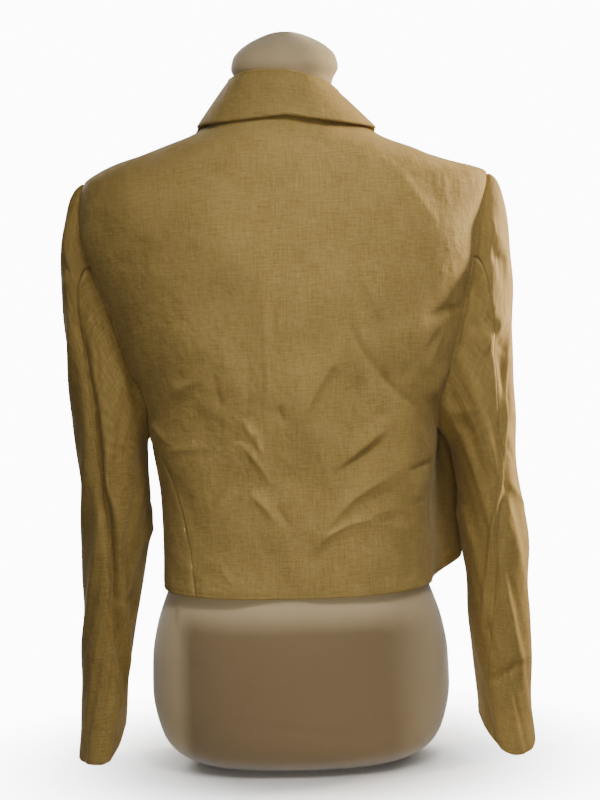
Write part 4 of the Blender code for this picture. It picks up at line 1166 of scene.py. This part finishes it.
def button_grid():
    """Profile turned round the button's middle, pressed in at the four thread holes."""
    knots = np.arange(len(BUTTON_ROUND["radius"]))
    share = np.linspace(0.0, knots[-1], BUTTON_STEPS * knots[-1] + 1)
    radius = np.interp(share, knots, BUTTON_ROUND["radius"])[:, None]
    level = np.interp(share, knots, BUTTON_ROUND["level"])[:, None]
    turn = np.linspace(0.0, 2 * math.pi, BUTTON_SIDES + 1)[None, :]
    across, up = radius * np.cos(turn), radius * np.sin(turn)
    from_hole = np.hypot(np.abs(across) - HOLE_STEP, np.abs(up) - HOLE_STEP)
    inside_rim = share[:, None] > BUTTON_RIM_TOP
    sunk = HOLE_DEPTH * (1 - ease(HOLE_FLOOR_RADIUS, HOLE_RADIUS, from_hole)) * inside_rim
    return on_button(across, up, level - sunk)


def thread_grid(slant):
    """One bar of thread from hole to hole across the button's middle: a round yarn bent in a low arch."""
    run = np.linspace(-1.0, 1.0, THREAD_STEPS + 1)[:, None]
    turn = np.linspace(0.0, 2 * math.pi, THREAD_SIDES + 1)[None, :]
    reach = HOLE_STEP * run
    rise = THREAD_LEVEL + THREAD_ARCH * (1 - run ** 4) - THREAD_DIP * run ** 8
    side_step = THREAD_RADIUS * np.cos(turn) / math.sqrt(2)
    across = reach - slant * side_step
    up = slant * reach + side_step
    return on_button(across, up, rise + THREAD_RADIUS * np.sin(turn) * (1 + 0 * run))


def horn():
    """Polished horn: dark with paler drifting streaks."""
    made, shader, start = new_finish("horn", {})
    place = start.place()
    fleck = place.noise(HORN_FLECKS, HORN_FLECKS)
    tone = place.noise(*HORN_STREAKS).ramp(*HORN_STREAK_ENDS) + fleck.swing(HORN_FLECK_TONE)
    lay_finish(shader, tone.between(HORN_DARK, HORN_LIGHT), HORN_ROUGHNESS, fleck, HORN_FLECK_RISE * fleck)
    return made


def yarn():
    """Twisted linen thread."""
    made, shader, start = new_finish("button_thread", {})
    across, up = start.flat_place().parts()[:2]
    twist = ((across + up) * (2 * math.pi / THREAD_TWIST)).wave()
    colour = (0.5 + 0.5 * twist).between(THREAD_DARK, THREAD_LIGHT)
    lay_finish(shader, colour, THREAD_ROUGHNESS, twist, THREAD_TWIST_RISE * twist)
    return made


button = add_surface("horn_button", button_grid(), horn(), turned=True, ring=True)
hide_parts("button")
thread_finish = yarn()
for name, slant in (("button_thread_rising", 1.0), ("button_thread_falling", -1.0)):
    add_surface(name, thread_grid(slant), thread_finish, turned=slant > 0, ring=True)


# Floor and light
# A plain pale studio floor that fades out into a white surround. Soft lamps hang high behind the back and
# stand level with it, a small one beyond the right arm edges that sleeve, and one lights the front.

FLOOR_RADIUS = 0.44
FLOOR_CLEAR = 0.10
FLOOR_DROP = 0.0005
FLOOR_RINGS = 8
FLOOR_COLUMNS = 96
FLOOR_PALE = (0.84, 0.84, 0.84, 1.0)
FLOOR_WHITE = (0.90, 0.90, 0.90, 1.0)
FLOOR_CLOUDS = 3.0
FLOOR_CLOUD_RISE = 0.0002
FLOOR_ROUGHNESS = (0.85, 0.05)
SOFT_WHITE = (1.0, 0.98, 0.94)
WARM_WHITE = (1.0, 0.84, 0.60)
LAMP_COLUMNS = ("place", "aim", "size", "degrees", "watts", "colour")
LAMPS = {
    "spot": ((-0.30, 1.05, 2.10), (-0.01, 0.08, 0.36), 0.30, 15, 0.29, SOFT_WHITE),
    "overhead": ((-0.45, 1.25, 2.15), (0.0, 0.0, 0.30), 1.2, 180, 16.5, SOFT_WHITE),
    "fill": ((-0.05, 2.20, 0.38), (-0.12, 0.0, 0.25), 0.7, 180, 14.5, SOFT_WHITE),
    "rim": ((-1.58, -0.65, 0.90), (-0.18, 0.0, 0.45), 0.35, 36, 4.6, WARM_WHITE),
    "front": ((1.00, -1.75, 1.10), (0.0, 0.0, 0.35), 0.7, 180, 24.0, SOFT_WHITE),
}
SURROUND = 0.11
BACKDROP = 12.0
BACKDROP_WHITE = (1.0, 1.0, 1.0, 1.0)


def floor_finish():
    """Pale paper, faintly clouded, that fades out from a clear middle to its rim."""
    made, shader, start = new_finish("studio_floor", {})
    place = start.place()
    cloud = place.noise(FLOOR_CLOUDS, FLOOR_CLOUDS)
    colour = cloud.between(FLOOR_PALE, FLOOR_WHITE)
    lay_finish(shader, colour, FLOOR_ROUGHNESS, cloud, FLOOR_CLOUD_RISE * cloud)
    reach = start.node("ShaderNodeVectorMath", {"operation": "LENGTH"}, {0: place}, "Value")
    made.node_tree.links.new(reach.ramp(FLOOR_RADIUS, FLOOR_CLEAR).socket, shader.inputs["Alpha"])
    return made


turn = np.linspace(0.0, 2 * math.pi, FLOOR_COLUMNS + 1)[None, :]
reach = np.linspace(0.0, FLOOR_RADIUS, FLOOR_RINGS + 1)[1:, None]
floor_points = np.stack([reach * np.cos(turn), reach * np.sin(turn), 0 * reach * turn - FLOOR_DROP], axis=-1)
number = np.arange(floor_points.shape[0] * FLOOR_COLUMNS).reshape(-1, FLOOR_COLUMNS)
beside = np.roll(number, -1, axis=1)
floor_quads = np.stack([number[:-1], number[1:], beside[1:], beside[:-1]], axis=-1).reshape(-1, 4)
floor_faces = floor_quads.tolist() + [number[0].tolist()]
floor_mesh = bpy.data.meshes.new("floor")
floor_mesh.from_pydata(floor_points[:, :-1].reshape(-1, 3).tolist(), [], floor_faces)
floor_mesh.materials.append(floor_finish())
floor = bpy.data.objects.new("floor", floor_mesh)
bpy.context.scene.collection.objects.link(floor)

for name, values in LAMPS.items():
    lamp = dict(zip(LAMP_COLUMNS, values))
    light = bpy.data.lights.new(name, "AREA")
    light.shape = "DISK"
    light.size = lamp["size"]
    light.energy = lamp["watts"]
    light.spread = math.radians(lamp["degrees"])
    light.color = lamp["colour"]
    holder = bpy.data.objects.new(name, light)
    holder.location = lamp["place"]
    holder.rotation_euler = (Vector(lamp["aim"]) - holder.location).to_track_quat("-Z", "Y").to_euler()
    bpy.context.scene.collection.objects.link(holder)

world = bpy.data.worlds.new("studio")
world.use_nodes = True
bpy.context.scene.world = world
backdrop = world.node_tree.nodes["Background"]
seen = Finish(world.node_tree).node("ShaderNodeLightPath", {}, {}, "Is Camera Ray")
world.node_tree.links.new((SURROUND + (BACKDROP - SURROUND) * seen).socket, backdrop.inputs["Strength"])
backdrop.inputs["Color"].default_value = BACKDROP_WHITE
